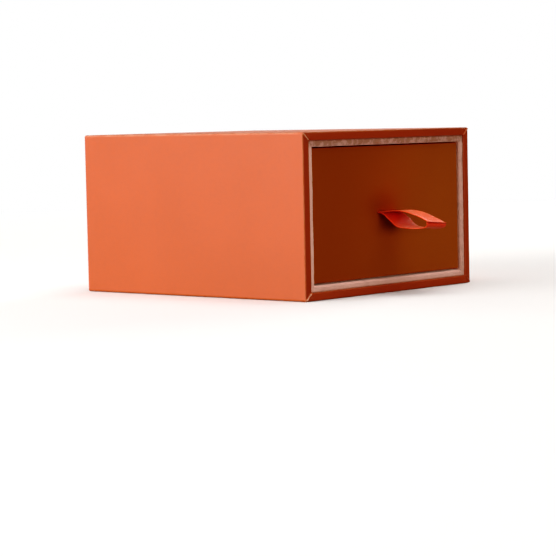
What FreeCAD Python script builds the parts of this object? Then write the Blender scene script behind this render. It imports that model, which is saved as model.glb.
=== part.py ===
import FreeCAD, Part
import math
import os
import re
import sys
import Sketcher

# Sliding drawer gift box: a paper-covered greyboard sleeve with a covered card
# liner, and a covered greyboard drawer that slides out of its front on a ribbon
# loop. Millimetres. +Z is up, the open front faces -Y, and the origin is the
# centre of the sleeve's underside.

doc = FreeCAD.newDocument("sliding_drawer_box")

# ---------------------------------------------------------------- dimensions
sheet = doc.addObject("Spreadsheet::Sheet", "Dims")
CELLS = [
    ("outer_width", 79.0, "sleeve, left to right over the paper"),
    ("outer_depth", 88.0, "sleeve, front edge to back paper"),
    ("outer_height", 48.0, "sleeve, underside to top"),
    ("paper", 0.2, "covering paper and its glue"),
    ("board", 2.0, "sleeve greyboard"),
    ("edge_radius", 0.6, "sleeve's long edges, over the paper"),
    ("turn_in", 15.0, "covering turned in at the open front"),
    ("back_lap", 9.0, "covering turned over the back board"),
    ("back_inset", 1.8, "back sheet, short of the sleeve's edges"),
    ("liner_recess", 0.4, "liner front behind the sleeve front"),
    ("liner_card", 1.5, "liner card"),
    ("liner_paper", 0.2, "liner covering, each side of the card"),
    ("liner_turn", 12.0, "liner covering turned behind the card"),
    ("stay_leg", 10.0, "sleeve corner stay, each leg"),
    ("stay_thick", 0.15, "gummed stay paper"),
    ("gap_side", 0.4, "drawer to liner, each side"),
    ("gap_top", 0.3, "drawer to liner, above"),
    ("gap_under", 0.3, "drawer to liner, below"),
    ("gap_back", 0.5, "drawer to back lining, shut"),
    ("drawer_recess", 0.5, "drawer front behind the liner front"),
    ("tray_board", 1.6, "drawer greyboard"),
    ("tray_radius", 0.5, "drawer's upright edges, over the paper"),
    ("tray_turn_in", 10.0, "drawer covering turned over the rim"),
    ("tray_lap", 9.0, "drawer covering turned under the base"),
    ("base_inset", 1.8, "base sheet, short of the drawer's edges"),
    ("tray_lining", 0.4, "drawer lining off the turned-in rim"),
    ("lining_drop", 3.0, "drawer lining below the rim"),
    ("tray_stay_leg", 8.0, "drawer corner stay, each leg"),
    ("pull_height", 23.75, "slot centre above the base"),
    ("slit_width", 10.6, "slit in the covering paper"),
    ("slit_height", 1.1, "slit in the covering paper"),
    ("slot_height", 2.0, "slot through the front board"),
    ("ribbon_width", 10.0, "pull ribbon"),
    ("ribbon_thick", 0.4, "pull ribbon"),
    ("loop_reach", 19.3, "loop in front of the drawer front"),
    ("tail_length", 7.6, "ribbon tail glued up or down the board"),
    ("patch_width", 16.0, "paper patch over the tails"),
    ("patch_height", 17.6, "paper patch over the tails"),
    ("patch_thick", 0.15, "paper patch over the tails"),
    ("insert_height", 18.0, "covered foam pad"),
    ("insert_gap", 0.3, "pad to the drawer lining"),
    ("cover_thick", 0.5, "pad covering"),
    ("ring_slit_length", 24.0, "ring slit, inside the covering"),
    ("ring_slit_width", 1.6, "ring slit, inside the covering"),
    ("ring_slit_depth", 10.0, "ring slit, inside the covering"),
]
DIM = {}
for row, (alias, value, note) in enumerate(CELLS, start=1):
    sheet.set("A%d" % row, note)
    sheet.set("B%d" % row, "%g" % value)
    sheet.setAlias("B%d" % row, alias)
doc.recompute()
for alias, value, note in CELLS:
    DIM[alias] = float(sheet.get(alias))


def cells(text):
    """An expression in cell names, such as "outer_width - 2*paper"."""
    return re.sub(r"[A-Za-z_]+", lambda m: "Dims." + m.group(0), str(text))


# Levels and half-sizes used by several pieces, each in cell names.
HALF_W = "outer_width/2"
FRONT = "-outer_depth/2"
BACK = "outer_depth/2"
SHELL = "(2*paper + board)"                              # sleeve wall at the turned-in front
BOARD_FRONT = "(-outer_depth/2 + paper)"                 # walls run from here
BOARD_BACK = "(outer_depth/2 - 2*paper)"                 # to here
LINER = "(liner_card + 2*liner_paper)"
LINER_FRONT = "(-outer_depth/2 + liner_recess)"
BACK_BOARD = "(outer_depth/2 - 2*paper - board)"         # inner face of the back board
LINER_BACK = "(outer_depth/2 - 3*paper - board)"         # front of the back lining
CAVE_W = "(outer_width - 2*(2*paper + board) - 2*(liner_card + 2*liner_paper))"
CAVE_LOW = "(2*paper + board + liner_card + 2*liner_paper)"
CAVE_HIGH = "(outer_height - 2*paper - board - liner_card - 2*liner_paper)"
TRAY_W = "(outer_width - 2*(2*paper + board) - 2*(liner_card + 2*liner_paper) - 2*gap_side)"
TRAY_FRONT = "(-outer_depth/2 + liner_recess + drawer_recess)"
TRAY_BACK = "(outer_depth/2 - 3*paper - board - gap_back)"
TRAY_L = "(outer_depth - 3*paper - board - gap_back - liner_recess - drawer_recess)"
TRAY_LOW = "(2*paper + board + liner_card + 2*liner_paper + gap_under)"
TRAY_TOP = "(outer_height - 2*paper - board - liner_card - 2*liner_paper - gap_top)"
TRAY_H = "(outer_height - 4*paper - 2*board - 2*liner_card - 4*liner_paper - gap_under - gap_top)"
TB_LOW = "(%s + 2*paper)" % TRAY_LOW                     # underside of the drawer's boards
TB_TOP = "(%s - paper)" % TRAY_TOP                       # top of the drawer's wall boards
IN_W = "(%s - 2*paper - 2*tray_board)" % TRAY_W          # between the drawer's wall boards
IN_L = "(%s - 2*paper - 2*tray_board)" % TRAY_L
IN_FRONT = "(%s + paper + tray_board)" % TRAY_FRONT      # inner face of the front board
IN_BACK = "(%s - paper - tray_board)" % TRAY_BACK
FLOOR = "(%s + tray_board)" % TB_LOW                     # top of the bottom board


# ------------------------------------------------------------------- helpers
def origin_plane(body, role):
    for feature in body.Origin.OriginFeatures:
        if feature.Role == role:
            return feature
    raise RuntimeError("no plane " + role)


def place(obj, at):
    for axis, text in zip("xyz", at):
        obj.setExpression("Placement.Base." + axis, cells(text))


def rectangle(body, name, role, across, up, corner=("0", "0")):
    """A dimensioned rectangle on one of the body's own origin planes."""
    sketch = body.newObject("Sketcher::SketchObject", name)
    sketch.AttachmentSupport = [(origin_plane(body, role), "")]
    sketch.MapMode = "FlatFace"
    pts = [(0, 0), (10, 0), (10, 6), (0, 6)]
    for i in range(4):
        a, b = pts[i], pts[(i + 1) % 4]
        sketch.addGeometry(
            Part.LineSegment(FreeCAD.Vector(a[0], a[1], 0), FreeCAD.Vector(b[0], b[1], 0)), False
        )
    for i in range(4):
        sketch.addConstraint(Sketcher.Constraint("Coincident", i, 2, (i + 1) % 4, 1))
    sketch.addConstraint(Sketcher.Constraint("Horizontal", 0))
    sketch.addConstraint(Sketcher.Constraint("Vertical", 1))
    sketch.addConstraint(Sketcher.Constraint("Horizontal", 2))
    sketch.addConstraint(Sketcher.Constraint("Vertical", 3))
    c = sketch.addConstraint(Sketcher.Constraint("DistanceX", 0, 1, 0, 2, 10.0))
    sketch.renameConstraint(c, "across")
    c = sketch.addConstraint(Sketcher.Constraint("DistanceY", 1, 1, 1, 2, 6.0))
    sketch.renameConstraint(c, "up")
    if corner == ("0", "0"):
        sketch.addConstraint(Sketcher.Constraint("Coincident", 0, 1, -1, 1))
    else:
        c = sketch.addConstraint(Sketcher.Constraint("DistanceX", -1, 1, 0, 1, 1.0))
        sketch.renameConstraint(c, "left")
        c = sketch.addConstraint(Sketcher.Constraint("DistanceY", -1, 1, 0, 1, 1.0))
        sketch.renameConstraint(c, "low")
        sketch.setExpression("Constraints.left", cells(corner[0]))
        sketch.setExpression("Constraints.low", cells(corner[1]))
    sketch.setExpression("Constraints.across", cells(across))
    sketch.setExpression("Constraints.up", cells(up))
    return sketch


def slab(label, size, at):
    """A flat-sided panel: a rectangle on XY, padded upward."""
    body = doc.addObject("PartDesign::Body", label)
    body.Label = label
    sketch = rectangle(body, label + "_outline", "XY_Plane", size[0], size[1])
    pad = body.newObject("PartDesign::Pad", label + "_pad")
    pad.Profile = sketch
    pad.setExpression("Length", cells(size[2]))
    sketch.Visibility = False
    place(body, at)
    return body


def edges_along(shape, axis, keep):
    """Names of the straight edges along an axis whose middle passes keep()."""
    names = []
    for i, edge in enumerate(shape.Edges, start=1):
        a, b = edge.Vertexes[0].Point, edge.Vertexes[-1].Point
        d = b - a
        spans = [abs(d.x), abs(d.y), abs(d.z)]
        if spans[axis] > 1e-6 and sum(spans) - spans[axis] < 1e-6 and keep((a + b) * 0.5):
            names.append("Edge%d" % i)
    return names


def rounded(body, axis, radius, keep=lambda p: True):
    """Round the body's straight edges along an axis."""
    doc.recompute()
    base = body.Tip
    fillet = body.newObject("PartDesign::Fillet", body.Name + "_round")
    fillet.Base = (base, edges_along(base.Shape, axis, keep))
    fillet.setExpression("Radius", cells(radius))
    body.Tip = fillet
    doc.recompute()
    return body


def block(name, size, at):
    """A plain box for a boolean."""
    box = doc.addObject("Part::Box", name)
    for prop, text in zip(("Length", "Width", "Height"), size):
        box.setExpression(prop, cells(text))
    place(box, at)
    box.Visibility = False
    return box


def cut(name, base, tool):
    out = doc.addObject("Part::Cut", name)
    out.Label = name
    out.Base, out.Tool = base, tool
    out.Refine = True
    return out


def fuse(name, *shapes):
    out = doc.addObject("Part::MultiFuse", name)
    out.Label = name
    out.Shapes = list(shapes)
    out.Refine = True
    return out


def centred(width):
    return "-(%s)/2" % width


def angle_strip(name, leg, thick, length, corner, toward, axis):
    """An L-shaped paper strip folded into an inside corner.

    corner is the corner's lowest end and toward the two signs in which the legs
    run; the strip runs along Y (axis 1) or Z (axis 2)."""
    size = [leg, leg, leg]
    size[axis] = length
    across = [0, 2] if axis == 1 else [0, 1]
    at = list(corner)
    inner = list(corner)
    for k, sign in zip(across, toward):
        if sign < 0:
            at[k] = "%s - %s" % (corner[k], leg)
            inner[k] = "%s - %s - %s" % (corner[k], leg, thick)
        else:
            inner[k] = "%s + %s" % (corner[k], thick)
    whole = block(name + "_leg", size, at)
    hollow = block(name + "_fold", size, inner)
    return cut(name, whole, hollow)


NODES = []


def node(obj, label=None):
    if label:
        obj.Label = label
    NODES.append(obj)
    return obj


# -------------------------------------------------------------- sleeve boards
# Top and bottom run the full width; the sides stand between them; the back
# board is let in between all four walls.
WALL_L = "(%s - %s)" % (BOARD_BACK, BOARD_FRONT)
board_w = "(outer_width - 2*paper)"
side_h = "(outer_height - 2*paper - 2*board)"
inner_w = "(outer_width - 2*paper - 2*board)"

top_board = slab("sleeve_top_board", (board_w, WALL_L, "board"),
                 (centred(board_w), BOARD_FRONT, "outer_height - paper - board"))
rounded(top_board, 1, "edge_radius - paper", lambda p: p.z > 1e-6)
node(top_board)

bottom_board = slab("sleeve_bottom_board", (board_w, WALL_L, "board"),
                    (centred(board_w), BOARD_FRONT, "paper"))
rounded(bottom_board, 1, "edge_radius - paper", lambda p: p.z < 1e-6)
node(bottom_board)

node(slab("sleeve_left_board", ("board", WALL_L, side_h),
          ("-%s + paper" % HALF_W, BOARD_FRONT, "paper + board")))
node(slab("sleeve_right_board", ("board", WALL_L, side_h),
          ("%s - paper - board" % HALF_W, BOARD_FRONT, "paper + board")))
node(slab("sleeve_back_board", (inner_w, "board", side_h),
          (centred(inner_w), BACK_BOARD, "paper + board")))

# Gummed stays folded into the four long inside corners, behind the turned-in
# covering and under the liner.
stays = []
stay_len = "(%s - %s - turn_in - 0.4)" % (BACK_BOARD, BOARD_FRONT)
stay_y = "%s + turn_in + 0.2" % BOARD_FRONT
for tag, sx, sz in (("low_left", 1, 1), ("low_right", -1, 1), ("high_left", 1, -1), ("high_right", -1, -1)):
    corner = ["%s(%s)/2" % ("-" if sx > 0 else "", inner_w), stay_y,
              "paper + board" if sz > 0 else "outer_height - paper - board"]
    stays.append(angle_strip("stay_" + tag, "stay_leg", "stay_thick", stay_len, corner, (sx, sz), 1))
sleeve_stays = doc.addObject("Part::Compound", "sleeve_corner_stays")
sleeve_stays.Links = stays
node(sleeve_stays, "sleeve_corner_stays")

# ------------------------------------------------------------- sleeve covering
# One sheet: round the four walls, over the front edge and turn_in back inside,
# and back_lap over the back board.
skin_l = "(outer_depth - paper)"
skin = slab("skin_outer", ("outer_width", skin_l, "outer_height"), (centred("outer_width"), FRONT, "0"))
rounded(skin, 1, "edge_radius")
core = slab("skin_core", (board_w, WALL_L, "(outer_height - 2*paper)"), (centred(board_w), BOARD_FRONT, "paper"))
rounded(core, 1, "edge_radius - paper")
# the turned-in flap fills this ring of the core's space
flap_out = block("flap_out", (inner_w, "turn_in", side_h), (centred(inner_w), BOARD_FRONT, "paper + board"))
core_less_flap = cut("skin_core_less_flap", core, flap_out)
mouth = block("skin_mouth", ("%s - 2*paper" % inner_w, "paper + turn_in + 1", "%s - 2*paper" % side_h),
              ("-(%s)/2 + paper" % inner_w, "%s - 1" % FRONT, "2*paper + board"))
back_window_w = "(outer_width - 2*back_lap)"
back_window_h = "(outer_height - 2*back_lap)"
window = block("skin_window", (back_window_w, "paper + 1", back_window_h),
               (centred(back_window_w), "%s - 0.5" % BOARD_BACK, "back_lap"))
skin_tools = fuse("skin_tools", core_less_flap, mouth, window)
node(cut("sleeve_wrap_paper", skin, skin_tools))

# The back sheet covers the laps, and is pressed down inside their window.
sheet_w = "(outer_width - 2*back_inset)"
sheet_h = "(outer_height - 2*back_inset)"
back_plate = block("back_plate", (sheet_w, "paper", sheet_h),
                   (centred(sheet_w), "%s - paper" % BACK, "back_inset"))
back_press = block("back_press", (back_window_w, "2*paper", back_window_h),
                   (centred(back_window_w), BOARD_BACK, "back_lap"))
node(fuse("sleeve_back_paper", back_plate, back_press))

# ---------------------------------------------------------------------- liner
# Four cards against the walls, behind the turned-in covering, and one pink
# covering over their faces and front edges.
card_l = "(%s - %s - liner_paper)" % (LINER_BACK, LINER_FRONT)
card_y = "%s + liner_paper" % LINER_FRONT
lin_out_w = "(outer_width - 2*%s)" % SHELL
lin_out_h = "(outer_height - 2*%s)" % SHELL
card_w = "(%s - 2*liner_paper)" % lin_out_w
card_h = "(%s - 2*liner_paper - 2*liner_card)" % lin_out_h
node(slab("liner_top_card", (card_w, card_l, "liner_card"),
          (centred(card_w), card_y, "outer_height - %s - liner_paper - liner_card" % SHELL)))
node(slab("liner_bottom_card", (card_w, card_l, "liner_card"),
          (centred(card_w), card_y, "%s + liner_paper" % SHELL)))
node(slab("liner_left_card", ("liner_card", card_l, card_h),
          ("-(%s)/2" % card_w, card_y, "%s + liner_paper + liner_card" % SHELL)))
node(slab("liner_right_card", ("liner_card", card_l, card_h),
          ("(%s)/2 - liner_card" % card_w, card_y, "%s + liner_paper + liner_card" % SHELL)))

cave_h = "(%s - %s)" % (CAVE_HIGH, CAVE_LOW)
cover_out = slab("liner_skin", (lin_out_w, "liner_paper + %s" % card_l, lin_out_h),
                 (centred(lin_out_w), LINER_FRONT, SHELL))
cards = block("liner_cards", (card_w, card_l + " + 1", "%s - 2*liner_paper" % lin_out_h),
              (centred(card_w), card_y, "%s + liner_paper" % SHELL))
cave_skin = block("liner_inner_skin", ("%s + 2*liner_paper" % CAVE_W, card_l + " + 3", "%s + 2*liner_paper" % cave_h),
                  ("-(%s)/2 - liner_paper" % CAVE_W, "%s - 1" % card_y, "%s - liner_paper" % CAVE_LOW))
card_ring = cut("liner_card_ring", cards, cave_skin)
cave = block("liner_cave", (CAVE_W, card_l + " + 3", cave_h), (centred(CAVE_W), "%s - 1" % card_y, CAVE_LOW))
# behind the cards the covering is only a turn, liner_turn deep
behind_out = block("liner_behind_out", (lin_out_w + " + 2", card_l, lin_out_h + " + 2"),
                   ("-(%s)/2 - 1" % lin_out_w, "%s + liner_turn" % card_y, "%s - 1" % SHELL))
behind_in = block("liner_behind_in", (card_w, card_l + " + 2", "%s - 2*liner_paper" % lin_out_h),
                  (centred(card_w), "%s + liner_turn - 1" % card_y, "%s + liner_paper" % SHELL))
behind = cut("liner_behind", behind_out, behind_in)
liner_tools = fuse("liner_tools", card_ring, cave, behind)
node(cut("liner_paper_pink", cover_out, liner_tools))

node(slab("back_lining_paper", (lin_out_w, "paper", lin_out_h), (centred(lin_out_w), LINER_BACK, SHELL)))

# -------------------------------------------------------------- drawer boards
side_l = "(%s - 2*paper)" % TRAY_L
wall_h = "(%s - %s)" % (TB_TOP, TB_LOW)
node(slab("tray_bottom_board", (IN_W, IN_L, "tray_board"), (centred(IN_W), IN_FRONT, TB_LOW)))
for label, x in (("tray_left_board", "-(%s)/2 + paper" % TRAY_W),
                 ("tray_right_board", "(%s)/2 - paper - tray_board" % TRAY_W)):
    wall = slab(label, ("tray_board", side_l, wall_h), (x, "%s + paper" % TRAY_FRONT, TB_LOW))
    outside = (lambda p: p.x < 1e-6) if label == "tray_left_board" else (lambda p: p.x > 1e-6)
    rounded(wall, 2, "tray_radius - paper", outside)
    node(wall)
node(slab("tray_back_board", (IN_W, "tray_board", wall_h), (centred(IN_W), IN_BACK, TB_LOW)))

# The front board has a slot for the ribbon and, on its inner face, a shallow
# bed that the ribbon's two tails are pressed into.
front_board = doc.addObject("PartDesign::Body", "tray_front_board")
front_board.Label = "tray_front_board"
outline = rectangle(front_board, "front_outline", "XZ_Plane", IN_W, wall_h, (centred(IN_W), "0"))
front_pad = front_board.newObject("PartDesign::Pad", "front_pad")
front_pad.Profile = outline
front_pad.Reversed = True
front_pad.setExpression("Length", cells("tray_board"))
slot_sketch = rectangle(front_board, "slot_outline", "XZ_Plane", "slit_width", "slot_height",
                        ("-slit_width/2", "pull_height - slot_height/2 - %s" % TB_LOW))
front_slot = front_board.newObject("PartDesign::Pocket", "front_slot")
front_slot.Profile = slot_sketch
front_slot.Type = 1
front_slot.Midplane = True
tail_span = "(2*tail_length + 2*ribbon_thick)"
bed_sketch = rectangle(front_board, "bed_outline", "XZ_Plane", "slit_width", tail_span,
                       ("-slit_width/2", "pull_height - %s/2 - %s" % (tail_span, TB_LOW)))
bed_sketch.setExpression("AttachmentOffset.Base.z", cells("-tray_board"))
front_bed = front_board.newObject("PartDesign::Pocket", "front_bed")
front_bed.Profile = bed_sketch
front_bed.setExpression("Length", cells("ribbon_thick"))
front_bed.Reversed = True
place(front_board, ("0", "%s + paper" % TRAY_FRONT, TB_LOW))
doc.recompute()
node(front_board)
whole = front_pad.Shape.Volume
slot_volume = DIM["slit_width"] * DIM["slot_height"] * DIM["tray_board"]
bed_volume = DIM["slit_width"] * (2 * DIM["tail_length"] + 2 * DIM["ribbon_thick"] - DIM["slot_height"]) * DIM["ribbon_thick"]
if abs(front_slot.Shape.Volume - (whole - slot_volume)) > 0.01:
    raise RuntimeError("the slot's pocket points away from the board")
if abs(front_bed.Shape.Volume - (whole - slot_volume - bed_volume)) > 0.01:
    raise RuntimeError("the bed's pocket points away from the board")

# Gummed stays in the drawer's four upright inside corners, below the turned-in rim.
tray_stays = []
tray_stay_len = "(%s - tray_turn_in - 0.2 - %s)" % (TRAY_TOP, FLOOR)
for tag, sx, sy in (("front_left", 1, 1), ("front_right", -1, 1), ("back_left", 1, -1), ("back_right", -1, -1)):
    corner = ["%s(%s)/2" % ("-" if sx > 0 else "", IN_W), IN_FRONT if sy > 0 else IN_BACK, FLOOR]
    tray_stays.append(angle_strip("tray_stay_" + tag, "tray_stay_leg", "stay_thick", tray_stay_len, corner, (sx, sy), 2))
tray_stay_node = doc.addObject("Part::Compound", "tray_corner_stays")
tray_stay_node.Links = tray_stays
node(tray_stay_node, "tray_corner_stays")

# -------------------------------------------------------------- drawer covering
# One sheet: round the four walls, over the rim and tray_turn_in down inside, and
# tray_lap under the base. The front has the ribbon's slit.
tskin = slab("tray_skin", (TRAY_W, TRAY_L, "%s - paper" % TRAY_H), (centred(TRAY_W), TRAY_FRONT, "%s + paper" % TRAY_LOW))
rounded(tskin, 2, "tray_radius")
tcore_w = "(%s - 2*paper)" % TRAY_W
tcore = slab("tray_core", (tcore_w, side_l, wall_h), (centred(tcore_w), "%s + paper" % TRAY_FRONT, TB_LOW))
rounded(tcore, 2, "tray_radius - paper")
tflap = block("tray_flap", (IN_W, IN_L, "tray_turn_in"), (centred(IN_W), IN_FRONT, "%s - tray_turn_in" % TRAY_TOP))
tcore_less = cut("tray_core_less_flap", tcore, tflap)
tmouth = block("tray_mouth", ("%s - 2*paper" % IN_W, "%s - 2*paper" % IN_L, "tray_turn_in + 2"),
               ("-(%s)/2 + paper" % IN_W, "%s + paper" % IN_FRONT, "%s - tray_turn_in - 1" % TRAY_TOP))
base_window_w = "(%s - 2*tray_lap)" % TRAY_W
base_window_l = "(%s - 2*tray_lap)" % TRAY_L
twindow = block("tray_window", (base_window_w, base_window_l, "2"),
                (centred(base_window_w), "%s + tray_lap" % TRAY_FRONT, "%s - 0.5" % TRAY_LOW))
tslit = block("tray_slit", ("slit_width", "paper + 1", "slit_height"),
              ("-slit_width/2", "%s - 0.5" % TRAY_FRONT, "pull_height - slit_height/2"))
tray_tools = fuse("tray_tools", tcore_less, tmouth, twindow, tslit)
node(cut("tray_wrap_paper", tskin, tray_tools))

base_w = "(%s - 2*base_inset)" % TRAY_W
base_l = "(%s - 2*base_inset)" % TRAY_L
base_plate = block("base_plate", (base_w, base_l, "paper"),
                   (centred(base_w), "%s + base_inset" % TRAY_FRONT, TRAY_LOW))
base_press = block("base_press", (base_window_w, base_window_l, "2*paper"),
                   (centred(base_window_w), "%s + tray_lap" % TRAY_FRONT, TRAY_LOW))
node(fuse("tray_base_paper", base_plate, base_press))

# --------------------------------------------------------------- drawer lining
# The wall lining stands on the bottom board and stops lining_drop below the rim,
# over the turned-in covering, the corner stays and the ribbon's patch.
lining_top = "(%s - lining_drop)" % TRAY_TOP
lin_block = slab("wall_lining_block", (IN_W, IN_L, "%s - %s" % (lining_top, FLOOR)), (centred(IN_W), IN_FRONT, FLOOR))
well_w = "(%s - 2*tray_lining)" % IN_W
well_l = "(%s - 2*tray_lining)" % IN_L
well = block("wall_lining_well", (well_w, well_l, "%s - %s + 2" % (lining_top, FLOOR)),
             (centred(well_w), "%s + tray_lining" % IN_FRONT, "%s - 1" % FLOOR))
rim_out = block("lining_rim_out", ("%s + 2" % IN_W, "%s + 2" % IN_L, "tray_turn_in + 1"),
                ("-(%s)/2 - 1" % IN_W, "%s - 1" % IN_FRONT, "%s - tray_turn_in" % TRAY_TOP))
rim_in = block("lining_rim_in", ("%s - 2*paper" % IN_W, "%s - 2*paper" % IN_L, "tray_turn_in + 3"),
               ("-(%s)/2 + paper" % IN_W, "%s + paper" % IN_FRONT, "%s - tray_turn_in - 1" % TRAY_TOP))
rim_ring = cut("lining_rim_ring", rim_out, rim_in)
patch_at = ("-patch_width/2", IN_FRONT, "pull_height - patch_height/2")
patch_bed = block("lining_patch_bed", ("patch_width", "patch_thick", "patch_height"), patch_at)
stay_beds = []
for tag, sx, sy in (("a", 1, 1), ("b", -1, 1), ("c", 1, -1), ("d", -1, -1)):
    corner = ["%s(%s)/2" % ("-" if sx > 0 else "", IN_W), IN_FRONT if sy > 0 else IN_BACK, FLOOR]
    stay_beds.append(angle_strip("stay_bed_" + tag, "tray_stay_leg", "stay_thick", tray_stay_len, corner, (sx, sy), 2))
lining_tools = fuse("lining_tools", well, rim_ring, patch_bed, *stay_beds)
node(cut("tray_wall_lining", lin_block, lining_tools))
node(slab("tray_floor_lining", (well_w, well_l, "paper"), (centred(well_w), "%s + tray_lining" % IN_FRONT, FLOOR)))

node(slab("ribbon_anchor_patch", ("patch_width", "patch_thick", "patch_height"), patch_at))

# ----------------------------------------------------------------- pull ribbon
# One ribbon folded in half: both halves pass the slot and are glued, one up and
# one down, to the back of the front board; outside they open into an eye-shaped
# loop that droops at its tip. Its side view is straight runs joined by tangent
# arcs, so the two edges of that view are the same runs and arcs, offset.
t = DIM["ribbon_thick"]
y_face = -DIM["outer_depth"] / 2 + DIM["liner_recess"] + DIM["drawer_recess"]
y_back = y_face + DIM["paper"] + DIM["tray_board"]
y_tail = y_back - t / 2
z0 = DIM["pull_height"]
gap = 0.1                                   # between the halves in the slot
zu, zl = z0 + (t + gap) / 2, z0 - (t + gap) / 2
reach = DIM["loop_reach"]
k = reach / 20.0
upper = [(3.4, 0.42), (7.6, 0.80), (11.6, 0.62), (14.7, -0.40), (17.3, -1.80), (19.1, -2.85), (20.0, -3.62)]
lower = [(19.1, -4.30), (15.6, -4.50), (11.4, -4.72), (7.3, -4.40), (3.8, -1.60), (1.6, -0.25)]
route = [(y_tail, z0 + DIM["tail_length"]), (y_tail, zu)]
route += [(y_face - u * k, z0 + v) for u, v in upper]
route += [(y_face - u * k, z0 + v) for u, v in lower]
route += [(y_tail, zl), (y_tail, z0 - DIM["tail_length"])]


def runs_and_arcs(points, bends):
    """Straight runs joined by tangent arcs, as ("run", a, b) and ("arc", centre, radius, from, to, turn)."""
    out, start = [], points[0]
    for i in range(1, len(points) - 1):
        p, q, r = points[i - 1], points[i], points[i + 1]
        a = (q[0] - p[0], q[1] - p[1])
        b = (r[0] - q[0], r[1] - q[1])
        la, lb = math.hypot(*a), math.hypot(*b)
        ua, ub = (a[0] / la, a[1] / la), (b[0] / lb, b[1] / lb)
        turn = math.atan2(ua[0] * ub[1] - ua[1] * ub[0], ua[0] * ub[0] + ua[1] * ub[1])
        radius = bends.get(i, 0.45 * min(la, lb) / math.tan(abs(turn) / 2))
        back = radius * math.tan(abs(turn) / 2)
        s = (q[0] - ua[0] * back, q[1] - ua[1] * back)
        e = (q[0] + ub[0] * back, q[1] + ub[1] * back)
        side = 1 if turn > 0 else -1
        centre = (s[0] - side * ua[1] * radius, s[1] + side * ua[0] * radius)
        out.append(("run", start, s))
        out.append(("arc", centre, radius, s, e, turn))
        start = e
    out.append(("run", start, points[-1]))
    return out


bend = 0.7
legs = runs_and_arcs(route, {1: bend, len(route) - 2: bend})
print("ribbon bends, mm:", ", ".join("%.2f" % leg[2] for leg in legs if leg[0] == "arc"))


def offset(legs, d):
    """The same legs, moved d to the left of their direction."""
    out = []
    for leg in legs:
        if leg[0] == "run":
            (ay, az), (by, bz) = leg[1], leg[2]
            n = math.hypot(by - ay, bz - az)
            ny, nz = -(bz - az) / n * d, (by - ay) / n * d
            out.append(("run", (ay + ny, az + nz), (by + ny, bz + nz)))
        else:
            _, c, r, s, e, turn = leg
            side = 1 if turn > 0 else -1
            rr = r - side * d
            if rr <= 0.02:
                raise RuntimeError("the ribbon's bend is too tight")
            f = rr / r
            out.append(("arc", c, rr, (c[0] + (s[0] - c[0]) * f, c[1] + (s[1] - c[1]) * f),
                        (c[0] + (e[0] - c[0]) * f, c[1] + (e[1] - c[1]) * f), turn))
    return out


ribbon = doc.addObject("PartDesign::Body", "pull_ribbon")
ribbon.Label = "pull_ribbon"
side_view = ribbon.newObject("Sketcher::SketchObject", "ribbon_side_view")
side_view.AttachmentSupport = [(origin_plane(ribbon, "YZ_Plane"), "")]
side_view.MapMode = "FlatFace"
geometry = []
ends = []
for d in (t / 2, -t / 2):
    moved = offset(legs, d)
    for leg in moved:
        if leg[0] == "run":
            geometry.append(Part.LineSegment(FreeCAD.Vector(leg[1][0], leg[1][1], 0), FreeCAD.Vector(leg[2][0], leg[2][1], 0)))
        else:
            _, c, r, s, e, turn = leg
            a0 = math.atan2(s[1] - c[1], s[0] - c[0])
            am = a0 + turn / 2
            mid = (c[0] + r * math.cos(am), c[1] + r * math.sin(am))
            geometry.append(Part.Arc(FreeCAD.Vector(s[0], s[1], 0), FreeCAD.Vector(mid[0], mid[1], 0), FreeCAD.Vector(e[0], e[1], 0)))
    ends.append((moved[0][1], moved[-1][2]))
for i in (0, 1):
    a, b = ends[0][i], ends[1][i]
    geometry.append(Part.LineSegment(FreeCAD.Vector(a[0], a[1], 0), FreeCAD.Vector(b[0], b[1], 0)))
side_view.addGeometry(geometry, False)
ribbon_pad = ribbon.newObject("PartDesign::Pad", "ribbon_pad")
ribbon_pad.Profile = side_view
ribbon_pad.Midplane = True
ribbon_pad.setExpression("Length", cells("ribbon_width"))
doc.recompute()
node(ribbon)
run_length = sum(math.hypot(g[2][0] - g[1][0], g[2][1] - g[1][1]) if g[0] == "run" else g[2] * abs(g[5]) for g in legs)
print("ribbon length %.2f mm" % run_length)
if abs(ribbon_pad.Shape.Volume - run_length * t * DIM["ribbon_width"]) > 0.5:
    raise RuntimeError("ribbon volume %g, expected %g" % (ribbon_pad.Shape.Volume, run_length * t * DIM["ribbon_width"]))

# ------------------------------------------------------------------ foam insert
# A foam block with a blind ring slit, and its velvet covering, which goes over
# the top and sides and is tucked down into the slit.
pad_w = "(%s - 2*insert_gap)" % well_w
pad_l = "(%s - 2*insert_gap)" % well_l
pad_low = "(%s + paper)" % FLOOR
pad_front = "(%s + tray_lining + insert_gap)" % IN_FRONT
foam_w = "(%s - 2*cover_thick)" % pad_w
foam_l = "(%s - 2*cover_thick)" % pad_l
foam_h = "(insert_height - cover_thick)"
pad_top = "(%s + insert_height)" % pad_low
mid_y = "((%s + %s)/2)" % (IN_FRONT, IN_BACK)
foam_block = slab("foam_block", (foam_w, foam_l, foam_h), (centred(foam_w), "%s + cover_thick" % pad_front, pad_low))
tuck_w = "(ring_slit_length + 2*cover_thick)"
tuck_l = "(ring_slit_width + 2*cover_thick)"
tuck = block("foam_slit", (tuck_w, tuck_l, "ring_slit_depth + cover_thick"),
             (centred(tuck_w), "%s - %s/2" % (mid_y, tuck_l), "%s - cover_thick - ring_slit_depth" % pad_top))
node(cut("foam_insert", foam_block, tuck))

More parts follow.
